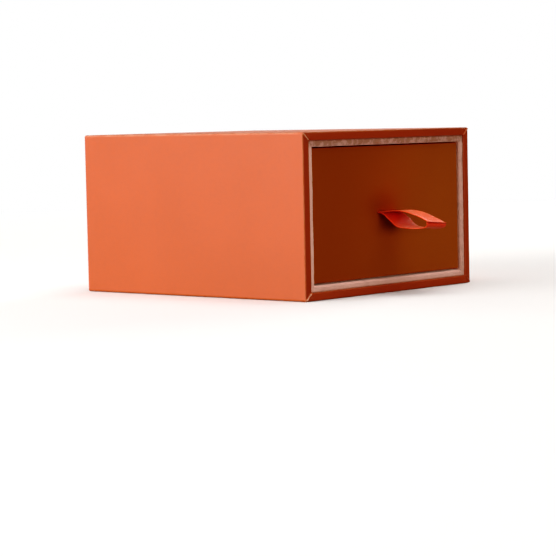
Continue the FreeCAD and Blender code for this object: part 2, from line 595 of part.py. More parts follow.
cover_block = slab("cover_block", (pad_w, pad_l, "insert_height"), (centred(pad_w), pad_front, pad_low))
rounded(cover_block, 2, "cover_thick")
foam_space = block("cover_space", (foam_w, foam_l, foam_h + " + 1"), (centred(foam_w), "%s + cover_thick" % pad_front, "%s - 1" % pad_low))
tuck_keep = block("cover_tuck", (tuck_w, tuck_l, "ring_slit_depth + 2*cover_thick"),
                  (centred(tuck_w), "%s - %s/2" % (mid_y, tuck_l), "%s - cover_thick - ring_slit_depth" % pad_top))
foam_void = cut("cover_void", foam_space, tuck_keep)
slit_void = block("cover_slit", ("ring_slit_length", "ring_slit_width", "ring_slit_depth + 1"),
                  ("-ring_slit_length/2", "%s - ring_slit_width/2" % mid_y, "%s - ring_slit_depth" % pad_top))
cover_tools = fuse("cover_tools", foam_void, slit_void)
node(cut("insert_cover", cover_block, cover_tools))

# ------------------------------------------------------------------------ write
doc.recompute()
bad = [o.Label for o in doc.Objects if "Invalid" in o.State or "Error" in o.State]
if bad:
    print("failed objects:", bad)
    sys.exit(1)
for obj in NODES:
    shape = obj.Shape
    if shape.isNull() or not shape.isValid() or not shape.Solids:
        print("bad shape:", obj.Label)
        sys.exit(1)

os.makedirs("parts", exist_ok=True)
for obj in NODES:
    obj.Shape.exportStep(os.path.join("parts", obj.Label + ".step"))
    b = obj.Shape.BoundBox
    print("%-22s solids %d  vol %9.2f  x %7.2f %7.2f  y %7.2f %7.2f  z %6.2f %6.2f" % (
        obj.Label, len(obj.Shape.Solids), obj.Shape.Volume, b.XMin, b.XMax, b.YMin, b.YMax, b.ZMin, b.ZMax))
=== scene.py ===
import bmesh
import bpy
import math
import numpy as np
from mathutils import Matrix, Vector, noise


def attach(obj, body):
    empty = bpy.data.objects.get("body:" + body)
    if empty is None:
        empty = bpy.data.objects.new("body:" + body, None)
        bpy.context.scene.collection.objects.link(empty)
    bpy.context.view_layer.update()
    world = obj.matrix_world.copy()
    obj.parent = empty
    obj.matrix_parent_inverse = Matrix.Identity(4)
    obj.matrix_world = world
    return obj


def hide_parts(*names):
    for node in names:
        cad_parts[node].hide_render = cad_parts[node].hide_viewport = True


# Sliding drawer gift box. Lengths in the code are millimetres unless a name
# says otherwise; MM turns them into the frame's metres.

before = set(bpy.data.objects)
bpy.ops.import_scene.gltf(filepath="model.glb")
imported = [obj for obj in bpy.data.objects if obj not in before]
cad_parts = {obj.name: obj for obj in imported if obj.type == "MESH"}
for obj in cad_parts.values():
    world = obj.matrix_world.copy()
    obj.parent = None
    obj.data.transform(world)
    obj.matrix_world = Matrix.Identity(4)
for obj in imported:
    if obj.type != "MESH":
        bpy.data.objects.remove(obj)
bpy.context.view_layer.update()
MM = 0.001

# ------------------------------------------------------------------- camera
AZ, EL, ROLL = -0.85706216, 0.07370728, -0.02141406
FOCAL_PX, SHIFT, DIST = 2207.7122957, (-0.08944941, 21.20860847), 680.96084673
CENTRE = np.array([0.0, 0.0, 24.0])


def camera_axes(az, el, roll):
    back = np.array(
        [math.sin(az) * math.cos(el), -math.cos(az) * math.cos(el), math.sin(el)]
    )
    right = np.cross(-back, [0, 0, 1.0])
    right /= np.linalg.norm(right)
    up = np.cross(right, -back)
    c, s = math.cos(roll), math.sin(roll)
    return c * right + s * up, -s * right + c * up, -back


right, up, ahead = camera_axes(AZ, EL, ROLL)
eye = (CENTRE - SHIFT[0] * right - SHIFT[1] * up - DIST * ahead) * MM
cam_data = bpy.data.cameras.new("camera")
cam_data.sensor_width = 36.0
cam_data.lens = FOCAL_PX / 556.0 * 36.0
cam_data.clip_start, cam_data.clip_end = 0.05, 200.0
cam = bpy.data.objects.new("camera", cam_data)
bpy.context.scene.collection.objects.link(cam)
m = Matrix.Identity(4)
for k in range(3):
    m[k][0], m[k][1], m[k][2], m[k][3] = right[k], up[k], -ahead[k], eye[k]
cam.matrix_world = m
bpy.context.scene.camera = cam


# ------------------------------------------------------------ small helpers
def smooth(a, b, x):
    t = np.clip((np.asarray(x, float) - a) / (b - a), 0.0, 1.0)
    return t * t * (3 - 2 * t)


def bell(x, width):
    return np.exp(-((np.asarray(x, float) / width) ** 2))


def rough(p, size, seed=0.0, octaves=1):
    """Perlin noise from -1 to 1 at each point of p, with features of that size."""
    shift = Vector((seed * 7.31, seed * 3.77 + 11.0, seed * 5.13 - 4.0))
    out = np.zeros(len(p))
    for o in range(octaves):
        k = 2.0**o / size
        out += (
            np.array([noise.noise(Vector(q) * k + shift) for q in p.tolist()]) / 2.0**o
        )
    return out


def divide(a, b, step, guard):
    """Points from a to b, without b, close together near both ends."""
    a, b = np.array(a, float), np.array(b, float)
    long = np.linalg.norm(b - a)
    if long < 1e-9:
        return []
    at = [0.0]
    near = [g for g in guard if 2 * g < long]
    at += near
    lo, hi = (near[-1], long - near[-1]) if near else (0.0, long)
    n = max(1, int(round((hi - lo) / step)))
    at += [lo + (hi - lo) * k / n for k in range(1, n)]
    if near:
        at += [hi] + [long - g for g in reversed(near[:-1])]
    return [a + (b - a) * t / long for t in sorted(set(round(x, 6) for x in at))]


def rounded(points, radii, step=2.0, seg=5, guard=(0.05,)):
    """An open path through points, with its corners rounded and its runs divided."""
    pts = [np.array(p, float) for p in points]
    out, start = [], pts[0]
    for i in range(1, len(pts)):
        if i < len(pts) - 1 and radii[i] > 0:
            a = (pts[i] - pts[i - 1]) / np.linalg.norm(pts[i] - pts[i - 1])
            b = (pts[i + 1] - pts[i]) / np.linalg.norm(pts[i + 1] - pts[i])
            turn = math.acos(max(-1.0, min(1.0, float(a @ b))))
            t = radii[i] * math.tan(turn / 2)
            n = b - a * (a @ b)
            n /= np.linalg.norm(n)
            into = pts[i] - a * t
            out += divide(start, into, step, guard)
            c = into + n * radii[i]
            for k in range(seg):
                f = turn * k / seg
                out.append(c - n * radii[i] * math.cos(f) + a * radii[i] * math.sin(f))
            start = pts[i] + b * t
        else:
            out += divide(start, pts[i], step, guard)
            start = pts[i]
    out.append(pts[-1])
    return [tuple(float(v) for v in p) for p in out]


def refine(path, level, inset):
    """Replaces the points of the flat run at that level with a run at those insets."""
    on = [i for i, q in enumerate(path) if abs(q[1] - level) < 1e-6]
    a, b = on[0], on[-1]
    lo, hi = sorted((path[a][0], path[b][0]))
    mid = sorted(
        (v for v in inset if lo + 0.02 < v < hi - 0.02), reverse=path[b][0] < path[a][0]
    )
    return path[: a + 1] + [(v, level) for v in mid] + path[b:]


def with_levels(path, levels):
    """The path with a point added wherever one of its upright runs crosses a level."""
    out = []
    for (d0, h0), (d1, h1) in zip(path, path[1:] + path[:1]):
        out.append((d0, h0))
        if abs(d0 - d1) < 1e-9 and abs(h1 - h0) > 1e-6:
            lo, hi = sorted((h0, h1))
            inside = [v for v in levels if lo + 2e-3 < v < hi - 2e-3]
            out += [(d0, v) for v in sorted(inside, reverse=h1 < h0)]
    return out


def thin(path, levels, gap):
    """Drops points of upright runs that lie nearer than gap to a level without being on it."""
    keep = []
    for i, (d, h) in enumerate(path):
        before, after = path[i - 1], path[(i + 1) % len(path)]
        upright = abs(before[0] - d) < 1e-9 and abs(after[0] - d) < 1e-9
        close = any(2e-3 < abs(h - v) < gap for v in levels)
        on = any(abs(h - v) <= 2e-3 for v in levels)
        if not (upright and close and not on):
            keep.append((d, h))
    return keep


class Ring:
    """Rounded rectangles with the same points on every one, so that they can be lofted."""

    def __init__(self, fu, fv, corner=5):
        self.fu, self.fv, self.corner = list(fu), list(fv), corner

    def points(self, hu, hv, r):
        lu, lv = hu - r, hv - r
        out = [(s * lu, -hv) for s in self.fu]
        out += self._arc(lu, -lv, r, -90)
        out += [(hu, s * lv) for s in self.fv]
        out += self._arc(lu, lv, r, 0)
        out += [(s * lu, hv) for s in reversed(self.fu)]
        out += self._arc(-lu, lv, r, 90)
        out += [(-hu, s * lv) for s in reversed(self.fv)]
        out += self._arc(-lu, -lv, r, 180)
        return np.array(out)

    def _arc(self, cu, cv, r, start):
        n = self.corner
        return [
            (
                cu + r * math.cos(math.radians(start + 90 * k / n)),
                cv + r * math.sin(math.radians(start + 90 * k / n)),
            )
            for k in range(1, n)
        ]


def fractions(half, step, near=(0.05,), extra=()):
    """Places along a side of that half length, from -1 to 1, close together near its ends."""
    at = [p[0] for p in divide((-half, 0), (half, 0), step, near)] + [half]
    if extra:
        lo, hi = min(extra), max(extra)
        at = [v for v in at if v < lo - 0.02 or v > hi + 0.02] + list(extra)
    return [v / half for v in sorted(at)]


def grid_faces(rows, columns, close_rows=True):
    out = []
    for i in range(rows if close_rows else rows - 1):
        a, b = i * columns, ((i + 1) % rows) * columns
        for j in range(columns):
            k = (j + 1) % columns
            out.append((a + j, a + k, b + k, b + j))
    return out


def make(name, verts, faces, merge=1e-5, subdivide=0):
    """A mesh object from points in millimetres, with its normals facing out."""
    mesh = bpy.data.meshes.new(name)
    mesh.from_pydata((np.asarray(verts) * MM).tolist(), [], faces)
    b = bmesh.new()
    b.from_mesh(mesh)
    bmesh.ops.remove_doubles(b, verts=b.verts, dist=merge * MM)
    bmesh.ops.dissolve_degenerate(b, edges=b.edges, dist=merge * MM)
    bmesh.ops.recalc_face_normals(b, faces=b.faces)
    b.to_mesh(mesh)
    b.free()
    mesh.shade_smooth()
    mesh.update()
    obj = bpy.data.objects.new(name, mesh)
    bpy.context.scene.collection.objects.link(obj)
    return obj


def points_of(obj):
    p = np.zeros(len(obj.data.vertices) * 3)
    obj.data.vertices.foreach_get("co", p)
    return p.reshape(-1, 3) / MM


def paint(obj, name, values):
    """A number on each point, which the material reads."""
    a = obj.data.attributes.new(name, "FLOAT", "POINT")
    a.data.foreach_set("value", np.asarray(values, np.float32))


def finish_piece(obj, material, body, nodes=()):
    obj.data.materials.clear()
    obj.data.materials.append(material)
    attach(obj, body)
    if nodes:
        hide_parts(*nodes)
    return obj


# ---------------------------------------------------------------- materials
class Shader:
    """A node material round one Principled shader, in object coordinates in metres."""

    def __init__(self, name, **sockets):
        self.mat = bpy.data.materials.new(name)
        self.mat.use_nodes = True
        self.tree = self.mat.node_tree
        self.tree.nodes.clear()
        self.out = self.add("ShaderNodeOutputMaterial")
        self.bsdf = self.add("ShaderNodeBsdfPrincipled")
        self.join(self.bsdf.outputs["BSDF"], self.out.inputs["Surface"])
        self.coords = self.add("ShaderNodeTexCoord").outputs["Object"]
        for k, v in sockets.items():
            self.bsdf.inputs[k.replace("_", " ")].default_value = v

    def add(self, kind, **settings):
        n = self.tree.nodes.new(kind)
        for k, v in settings.items():
            setattr(n, k, v)
        return n

    def join(self, a, b):
        self.tree.links.new(a, b)

    def stretch(self, x, y, z, turn=(0, 0, 0), source=None):
        n = self.add("ShaderNodeMapping")
        n.inputs["Scale"].default_value = (x, y, z)
        n.inputs["Rotation"].default_value = turn
        self.join(source or self.coords, n.inputs["Vector"])
        return n.outputs["Vector"]

    def noise(self, size_mm, detail=3.0, vector=None, gain=0.5, twist=0.0):
        n = self.add("ShaderNodeTexNoise")
        n.inputs["Scale"].default_value = 1000.0 / size_mm
        n.inputs["Detail"].default_value = detail
        n.inputs["Roughness"].default_value = gain
        n.inputs["Distortion"].default_value = twist
        self.join(vector or self.coords, n.inputs["Vector"])
        return n.outputs["Fac"]

    def cells(self, size_mm, vector=None, feature="F1"):
        n = self.add("ShaderNodeTexVoronoi")
        n.feature = feature
        n.inputs["Scale"].default_value = 1000.0 / size_mm
        self.join(vector or self.coords, n.inputs["Vector"])
        return n.outputs["Distance"]

    def math(self, op, a, b=None, c=None, clamp=False):
        n = self.add("ShaderNodeMath", operation=op, use_clamp=clamp)
        for k, v in enumerate((a, b, c)):
            if v is None:
                continue
            if isinstance(v, (int, float)):
                n.inputs[k].default_value = v
            else:
                self.join(v, n.inputs[k])
        return n.outputs[0]

    def span(self, value, lo, hi, to_lo=0.0, to_hi=1.0):
        n = self.add("ShaderNodeMapRange")
        n.interpolation_type = "SMOOTHSTEP"
        for k, v in zip(("From Min", "From Max", "To Min", "To Max"), (lo, hi, to_lo, to_hi)):
            n.inputs[k].default_value = v
        self.join(value, n.inputs["Value"])
        return n.outputs["Result"]

    def mix(self, share, a, b, blend="MIX"):
        n = self.add("ShaderNodeMix", data_type="RGBA", blend_type=blend)
        n.clamp_factor = True
        for socket, v in ((n.inputs[0], share), (n.inputs[6], a), (n.inputs[7], b)):
            if isinstance(v, (int, float)):
                socket.default_value = v
            elif isinstance(v, tuple):
                socket.default_value = (*v, 1.0)
            else:
                self.join(v, socket)
        return n.outputs[2]

    def attribute(self, name):
        return self.add("ShaderNodeAttribute", attribute_name=name).outputs["Fac"]

    def bump(self, height, depth_mm, strength=1.0, below=None):
        n = self.add("ShaderNodeBump")
        n.inputs["Strength"].default_value = strength
        n.inputs["Distance"].default_value = depth_mm * MM
        self.join(height, n.inputs["Height"])
        if below is not None:
            self.join(below, n.inputs["Normal"])
        return n.outputs["Normal"]

    def use(self, socket, value):
        self.join(value, self.bsdf.inputs[socket])


def shade(c, k):
    return tuple(min(1.0, v * k) for v in c)


def covering_paper(name, base, worn_and_lit, gloss, grain_depth=0.02, mottle=0.05, shine=0.28):
    """Dyed wrapping paper: cloudy colour, short fibres and a faint felt mark. Its folded edges are paler, partly from
    wear and partly as a painted highlight, and attributes add painted glints and painted shade.
    """
    s = Shader(name, Specular_IOR_Level=shine)
    clouds = s.noise(26.0, 2.0)
    flecks = s.noise(1.6, 4.0, gain=0.6)
    long_way = s.noise(0.5, 3.0, vector=s.stretch(0.18, 1.0, 1.0, (0.3, 0.2, 0.5)))
    cross_way = s.noise(0.5, 3.0, vector=s.stretch(1.0, 0.2, 0.9, (-0.2, 0.4, -0.6)))
    fibres = s.math("MAXIMUM", long_way, cross_way)
    tone = s.math(
        "ADD",
        s.math("MULTIPLY", clouds, 0.5),
        s.math(
            "ADD",
            s.math("MULTIPLY", flecks, 0.3),
            s.math("MULTIPLY", fibres, 0.2),
        ),
    )
    colour = s.mix(
        s.span(tone, 0.32, 0.68), shade(base, 1 - mottle), shade(base, 1 + mottle)
    )
    # paler where the fold attribute is high: worn edges, and a painted highlight along the sleeve's top edges
    rub_and_highlight = s.math(
        "MULTIPLY",
        s.attribute("fold"),
        s.span(s.noise(3.5, 5.0, gain=0.7), 0.30, 0.66, 0.25, 1.0),
        clamp=True,
    )
    # painted shade: the attribute read here turns the colour darker and redder, and darker still above 1
    deep_shade = (base[0] * 0.80, base[1] * 0.68, base[2] * 0.45)
    deeper_shade = (base[0] * 0.58, base[1] * 0.50, base[2] * 0.40)
    tone_and_shade = s.attribute("tone_and_shade")
    colour = s.mix(s.math("MINIMUM", tone_and_shade, 1.0), colour, deep_shade)
    colour = s.mix(s.math("SUBTRACT", tone_and_shade, 1.0, clamp=True), colour, deeper_shade)
    worn_and_lit_colour = s.mix(rub_and_highlight, colour, worn_and_lit)
    # painted highlight: a pale, nearly white colour on the ridges where the attribute read here is high
    core = s.math(
        "MULTIPLY", s.attribute("cut"), s.span(s.noise(0.9, 3.0), 0.34, 0.52, 0.25, 1.0), clamp=True
    )
    s.use("Base Color", s.mix(core, worn_and_lit_colour, (0.98, 0.62, 0.45)))
    s.use(
        "Roughness",
        s.math("ADD", s.span(flecks, 0.3, 0.7, -0.05, 0.05), gloss),
    )
    felt = s.noise(4.5, 2.0)
    under = s.bump(felt, 0.05, 0.35)
    s.use("Normal", s.bump(s.math("ADD", fibres, flecks), grain_depth, 0.5, under))
    return s.mat


def suede_paper(name, base, pale, sheen=0.45):
    """Flocked lining paper: a short nap that turns paler and darker in patches."""
    s = Shader(
        name,
        Specular_IOR_Level=0.15,
        Sheen_Weight=sheen,
        Sheen_Roughness=0.45,
        Sheen_Tint=(1.0, 0.86, 0.80, 1.0),
        Roughness=0.92,
    )
    nap = s.noise(2.2, 4.0, gain=0.62, twist=0.6)
    pile = s.noise(0.28, 3.0, gain=0.7)
    brushed = s.noise(9.0, 3.0, vector=s.stretch(1.0, 0.45, 0.6, (0.2, 0.1, 0.4)))
    tone = s.math(
        "ADD",
        s.math("MULTIPLY", nap, 0.4),
        s.math("ADD", s.math("MULTIPLY", pile, 0.35), s.math("MULTIPLY", brushed, 0.25)),
    )
    colour = s.mix(s.span(tone, 0.33, 0.67), base, pale)
    # painted shade over random darker patches: darker where the attribute read here is high
    stain_and_shade = s.math(
        "MULTIPLY",
        s.attribute("fold"),
        s.span(s.noise(1.7, 4.0, gain=0.65), 0.36, 0.64, 0.35, 1.0),
        clamp=True,
    )
    s.use("Base Color", s.mix(stain_and_shade, colour, (base[0] * 0.50, base[1] * 0.42, base[2] * 0.36)))
    s.use("Normal", s.bump(s.math("ADD", pile, s.math("MULTIPLY", nap, 0.5)), 0.07, 0.55))
    return s.mat


def board_stock(name, base, dark, size=1.0):
    """Grey recycled board: soft layers, specks and loose fibres."""
    s = Shader(name, Specular_IOR_Level=0.2, Roughness=0.95)
    layers = s.noise(1.2 * size, 4.0, gain=0.6)
    specks = s.span(s.cells(1.1 * size), 0.0, 0.16, 1.0, 0.0)
    fibres = s.noise(0.5 * size, 4.0, vector=s.stretch(0.2, 1.0, 0.8, (0.4, 0.1, 0.7)))
    colour = s.mix(s.span(layers, 0.35, 0.65), base, shade(base, 0.86))
    s.use("Base Color", s.mix(s.math("MULTIPLY", specks, fibres), colour, dark))
    s.use("Normal", s.bump(s.math("ADD", fibres, layers), 0.06, 0.6))
    return s.mat


def satin_ribbon(name, base, pale):
    """Narrow woven ribbon. UVs are millimetres: U along the ribbon and V across it."""
    s = Shader(
        name,
        Specular_IOR_Level=0.35,
        Anisotropic=0.5,
        Sheen_Weight=0.35,
        Sheen_Roughness=0.4,
        Sheen_Tint=(1.0, 0.50, 0.32, 1.0),
    )
    uv = s.add("ShaderNodeUVMap", uv_map="weave").outputs["UV"]
    parts = s.add("ShaderNodeSeparateXYZ")
    s.join(uv, parts.inputs[0])
    along, across = parts.outputs[0], parts.outputs[1]
    picks = s.math("SINE", s.math("MULTIPLY", along, 2 * math.pi / 0.30))
    ends = s.math("SINE", s.math("MULTIPLY", across, 2 * math.pi / 0.16))
    twill = s.math(
        "SINE",
        s.math(
            "ADD",
            s.math("MULTIPLY", along, 2 * math.pi / 0.60),
            s.math("MULTIPLY", across, 2 * math.pi / 0.32),
        ),
    )
    weave = s.math(
        "ADD",
        s.math("MULTIPLY", picks, 0.55),
        s.math("ADD", s.math("MULTIPLY", ends, 0.25), s.math("MULTIPLY", twill, 0.2)),
    )
    edge = s.span(s.math("ABSOLUTE", across), 4.35, 4.55)
    cords = s.math("SINE", s.math("MULTIPLY", along, 2 * math.pi / 0.42))
    height = s.math("ADD", weave, s.math("MULTIPLY", s.math("MULTIPLY", edge, cords), 0.8))
    fuzz = s.noise(0.35, 3.0)
    streaks = s.noise(1.0, 2.0, vector=s.stretch(0.0009, 0.003, 1.0, source=uv))
    tone = s.math(
        "ADD",
        s.math("MULTIPLY", s.span(weave, -1.0, 1.0), 0.45),
        s.math("ADD", s.math("MULTIPLY", fuzz, 0.25), s.math("MULTIPLY", streaks, 0.3)),
    )
    colour = s.mix(s.span(tone, 0.25, 0.75), base, pale)
    # painted shade: darker along the line the crease attribute marks
    crease_shade = s.math("MULTIPLY", s.attribute("crease"), s.span(fuzz, 0.3, 0.6, 0.7, 1.0))
    s.use("Base Color", s.mix(crease_shade, colour, (base[0] * 0.42, base[1] * 0.12, base[2] * 0.10)))
    s.use("Roughness", s.span(weave, -1.0, 1.0, 0.52, 0.34))
    s.use("Normal", s.bump(height, 0.035, 0.6))
    return s.mat


def velvet(name, base, pale):
    """Short cut pile with patches where it has been stroked the other way."""
    s = Shader(
        name,
        Specular_IOR_Level=0.1,
        Sheen_Weight=0.9,
        Sheen_Roughness=0.38,
        Sheen_Tint=(1.0, 0.80, 0.75, 1.0),
        Roughness=1.0,
    )
    pile = s.noise(0.22, 3.0, gain=0.7)
    stroked = s.noise(11.0, 3.0, vector=s.stretch(0.6, 1.0, 1.0, (0, 0, 0.5)), twist=0.8)
    nap = s.noise(1.8, 4.0, gain=0.6)
    tone = s.math(
        "ADD",
        s.math("MULTIPLY", stroked, 0.45),
        s.math("ADD", s.math("MULTIPLY", pile, 0.3), s.math("MULTIPLY", nap, 0.25)),
    )
    s.use("Base Color", s.mix(s.span(tone, 0.34, 0.66), base, pale))
    lean = s.bump(stroked, 0.35, 0.35)
    s.use("Normal", s.bump(s.math("ADD", pile, s.math("MULTIPLY", nap, 0.4)), 0.10, 0.7, lean))
    return s.mat


def open_foam(name, base):
    s = Shader(name, Specular_IOR_Level=0.1, Roughness=1.0)
    bubbles = s.cells(0.6)
    # painted shade: the pores are darker than the foam round them
    s.use("Base Color", s.mix(s.span(bubbles, 0.1, 0.6), shade(base, 0.6), base))
    s.use("Normal", s.bump(bubbles, 0.2, 0.8))
    return s.mat


ORANGE = (0.475, 0.086, 0.0270)
BURNT = (0.415, 0.117, 0.0210)
PINK = (0.980, 0.540, 0.450)

orange_paper = covering_paper(
    "orange_paper", ORANGE, (0.53, 0.255, 0.150), gloss=0.50
)
burnt_paper = covering_paper(
    "burnt_orange_paper", BURNT, (0.52, 0.105, 0.025), gloss=0.58, grain_depth=0.025, shine=0.16
)
pink_paper = suede_paper("pink_lining_paper", shade(PINK, 0.92), shade(PINK, 1.10))
greyboard = board_stock("greyboard", (0.36, 0.34, 0.30), (0.12, 0.11, 0.10))
lining_card = board_stock("lining_card", (0.55, 0.52, 0.46), (0.25, 0.22, 0.18), 0.7)
kraft = board_stock("kraft_paper", (0.42, 0.28, 0.16), (0.22, 0.13, 0.07), 0.6)
ribbon_red = satin_ribbon("red_ribbon", (0.93, 0.058, 0.018), (1.00, 0.108, 0.036))
pink_velvet = velvet("pink_velvet", (0.55, 0.235, 0.200), (0.70, 0.340, 0.295))
foam = open_foam("foam", (0.75, 0.72, 0.62))

FINISH = {
    "orange_paper": orange_paper,
    "burnt_orange_paper": burnt_paper,
    "pink_lining_paper": pink_paper,
    "greyboard": greyboard,
    "lining_card": lining_card,
    "kraft_paper": kraft,
    "red_ribbon": ribbon_red,
    "foam": foam,
    "pink_velvet": pink_velvet,
}
KEPT = {
    "sleeve_top_board": greyboard,
    "sleeve_bottom_board": greyboard,
    "sleeve_left_board": greyboard,
    "sleeve_right_board": greyboard,
    "sleeve_back_board": greyboard,
    "sleeve_corner_stays": kraft,
    "liner_top_card": lining_card,
    "liner_bottom_card": lining_card,
    "liner_left_card": lining_card,
    "liner_right_card": lining_card,
    "back_lining_paper": pink_paper,
    "tray_bottom_board": greyboard,
    "tray_back_board": greyboard,
    "tray_left_board": greyboard,
    "tray_right_board": greyboard,
    "tray_corner_stays": kraft,
    "tray_floor_lining": pink_paper,
    "ribbon_anchor_patch": kraft,
}
for node, material in KEPT.items():
    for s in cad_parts[node].material_slots:
        s.link = "OBJECT"
        s.material = material

# --------------------------------------------------------- sleeve's covering
W, D, H = 79.0, 88.0, 48.0
HX, HZ, MIDZ = W / 2, H / 2, H / 2
PAPER = 0.2
MITRE = (0.05, 0.12, 0.20, 0.30, 0.42, 0.60, 0.90, 1.40)


def mitre_fold(du, dv, steep, high=0.17):
    """How far a covering stands up where it is folded over itself at a corner.
    du and dv are the distances in from the two edges, and steep says which side drops sharply."""
    t = (du - dv) / math.sqrt(2) * steep
    m = (du + dv) / 2
    along = smooth(0.10, 0.50, m)
    ridge = np.where(t < 0, bell(t, 0.13), bell(t, 0.24))
    dip = 0.34 * bell(t + 0.33, 0.15) + 0.22 * bell(t - 0.52, 0.22)
    return along * (ridge - dip) * high


def sleeve_covering():
    outer = rounded(
        [(9.0, 43.8), (0.0, 43.8), (0.0, -44.0), (2.4, -44.0), (2.4, -29.0)],
        [0, 0.42, 0.42, 0.34, 0],
        step=2.0,
        seg=7,
        guard=(0.05, 0.3),
    )
    outer = refine(outer, -44.0, [0.50, *np.arange(0.66, 1.95, 0.16), 2.02])
    inner = rounded(
        [(2.2, -29.0), (2.2, -43.8), (0.2, -43.8), (0.2, 43.6), (9.0, 43.6)],
        [0, 0.16, 0.24, 0.24, 0],
        step=4.0,
        seg=4,
        guard=(0.1,),
    )
    loop = outer + inner
    ring = Ring(
        fractions(HX - 0.6, 1.9, MITRE), fractions(HZ - 0.6, 1.7, MITRE), corner=6
    )
    rows = []
    for d, y in loop:
        flat = ring.points(HX - d, HZ - d, max(0.6 - d, 0.05))
        rows.append(np.column_stack([flat[:, 0], np.full(len(flat), y), flat[:, 1]]))
    n = len(rows[0])
    verts = np.concatenate(rows)
    du, dv = HX - np.abs(verts[:, 0]), HZ - np.abs(verts[:, 2])
    inward = np.concatenate([np.full(n, d) for d, _ in loop])
    depth = verts[:, 1]
    outside = np.zeros(len(verts), bool)
    outside[: len(outer) * n] = True
    # folds: at the near corners the side's flap is tucked under the long one
    steep = np.where(verts[:, 0] < 0, -1.0, 1.0)
    rise = mitre_fold(du, dv, steep, 0.36) * (1 + 0.25 * rough(verts, 1.3, 31.0))
    on_border = smooth(-43.4, -43.9, depth) * outside * smooth(0.0, 0.25, inward)
    verts[:, 1] -= rise * on_border
    on_back = smooth(43.3, 43.7, depth) * outside * smooth(0.0, 0.25, inward)
    verts[:, 1] += np.clip(rise * 0.5, -0.05, 0.12) * on_back * smooth(2.2, 1.7, inward)
    # slow unevenness of the glued paper, and boards that aren't quite flat
    side = np.abs(verts[:, 0]) > HX - 0.21
    level = np.abs(verts[:, 2]) > HZ - 0.21
    slow = rough(verts, 24.0, 1.0) * 0.045 + rough(verts, 7.0, 2.0) * 0.014
    fade = smooth(0.0, 3.0, 44.0 + depth) * smooth(0.0, 3.0, 43.8 - depth)
    verts[:, 0] -= np.sign(verts[:, 0]) * np.abs(slow) * side * fade * smooth(0.6, 4.0, dv)
    top = level & (verts[:, 2] > 0)
    verts[:, 2] -= np.abs(slow) * top * fade * smooth(0.6, 4.0, du)
    # the front border isn't a drawn line: its inner fold wanders a little
    wander = rough(verts, 6.0, 3.0) * 0.07
    inner_fold = smooth(1.6, 2.3, inward) * smooth(-40.0, -43.5, depth) * outside
    verts[:, 0] += np.where(du < dv, np.sign(verts[:, 0]) * wander, 0) * inner_fold
    verts[:, 2] += np.where(dv <= du, np.sign(verts[:, 2]) * wander, 0) * inner_fold
    verts[:, 0] += 0.36 * smooth(-33.0, -36.7, verts[:, 0]) * inner_fold
    # glued overlap along the underside
    seam = 33.0
    under = (verts[:, 2] < -HZ + 0.02) & outside
    step = np.where(
        verts[:, 0] > seam, 0.14 * smooth(6.0, 0.0, verts[:, 0] - seam), 0.0
    )
    verts[:, 2] += step * under * fade
    verts[:, 2] += MIDZ
    return verts, grid_faces(len(loop), n)


verts, faces = sleeve_covering()
sleeve_wrap = make("sleeve_covering", verts, faces)
p = points_of(sleeve_wrap)
gaps = np.sort(
    np.column_stack(
        [
            np.abs(HX - np.abs(p[:, 0])),
            np.abs(HZ - np.abs(p[:, 2] - MIDZ)),
            np.abs(p[:, 1] + 44.0),
            np.abs(p[:, 1] - 43.8),
        ]
    ),
    axis=1,
)
mouth = np.minimum(np.abs(HX - 2.4 - np.abs(p[:, 0])), np.abs(HZ - 2.4 - np.abs(p[:, 2] - MIDZ)))
# painted highlight along the long folds on top, paler and wider than the worn edges of the other folds
top_edge_highlight = bell(gaps[:, 1], 0.46) * smooth(0.8, 0.3, HZ - (p[:, 2] - MIDZ)) * smooth(-43.2, -42.2, p[:, 1])
fold = np.maximum(0.42 * bell(gaps[:, 1], 0.30), 0.25 * bell(mouth, 0.22) * bell(p[:, 1] + 44.0, 0.4))
paint(sleeve_wrap, "fold", np.maximum(fold * 0.8, top_edge_highlight * 0.95))
du, dv = HX - np.abs(p[:, 0]), HZ - np.abs(p[:, 2] - MIDZ)
across = (du - dv) / math.sqrt(2)
reach_in = smooth(0.15, 0.5, (du + dv) / 2) * smooth(2.3, 1.9, (du + dv) / 2)
# painted highlight on the mitre ridges at the front corners: strongest at the bottom left, then the top left, faint
# at the right
corner_glint = np.where(p[:, 0] < 0, np.where(p[:, 2] < MIDZ, 0.95, 0.70), 0.15)
cut = bell(across - 0.03, 0.17) * reach_in * smooth(-43.3, -43.8, p[:, 1]) * corner_glint
paint(sleeve_wrap, "cut", cut)
# painted shade on the front border, where the paper is folded over the front edge: darkest at the left, then the top
# and the right, faintest at the bottom
sides = np.where(p[:, 0] < 0, 0.75, 0.45) * (du < dv) + np.where(p[:, 2] > MIDZ, 0.60, 0.10) * (dv <= du)
paint(sleeve_wrap, "tone_and_shade", sides * smooth(-43.5, -43.9, p[:, 1]))
finish_piece(sleeve_wrap, orange_paper, "sleeve", ["sleeve_wrap_paper"])


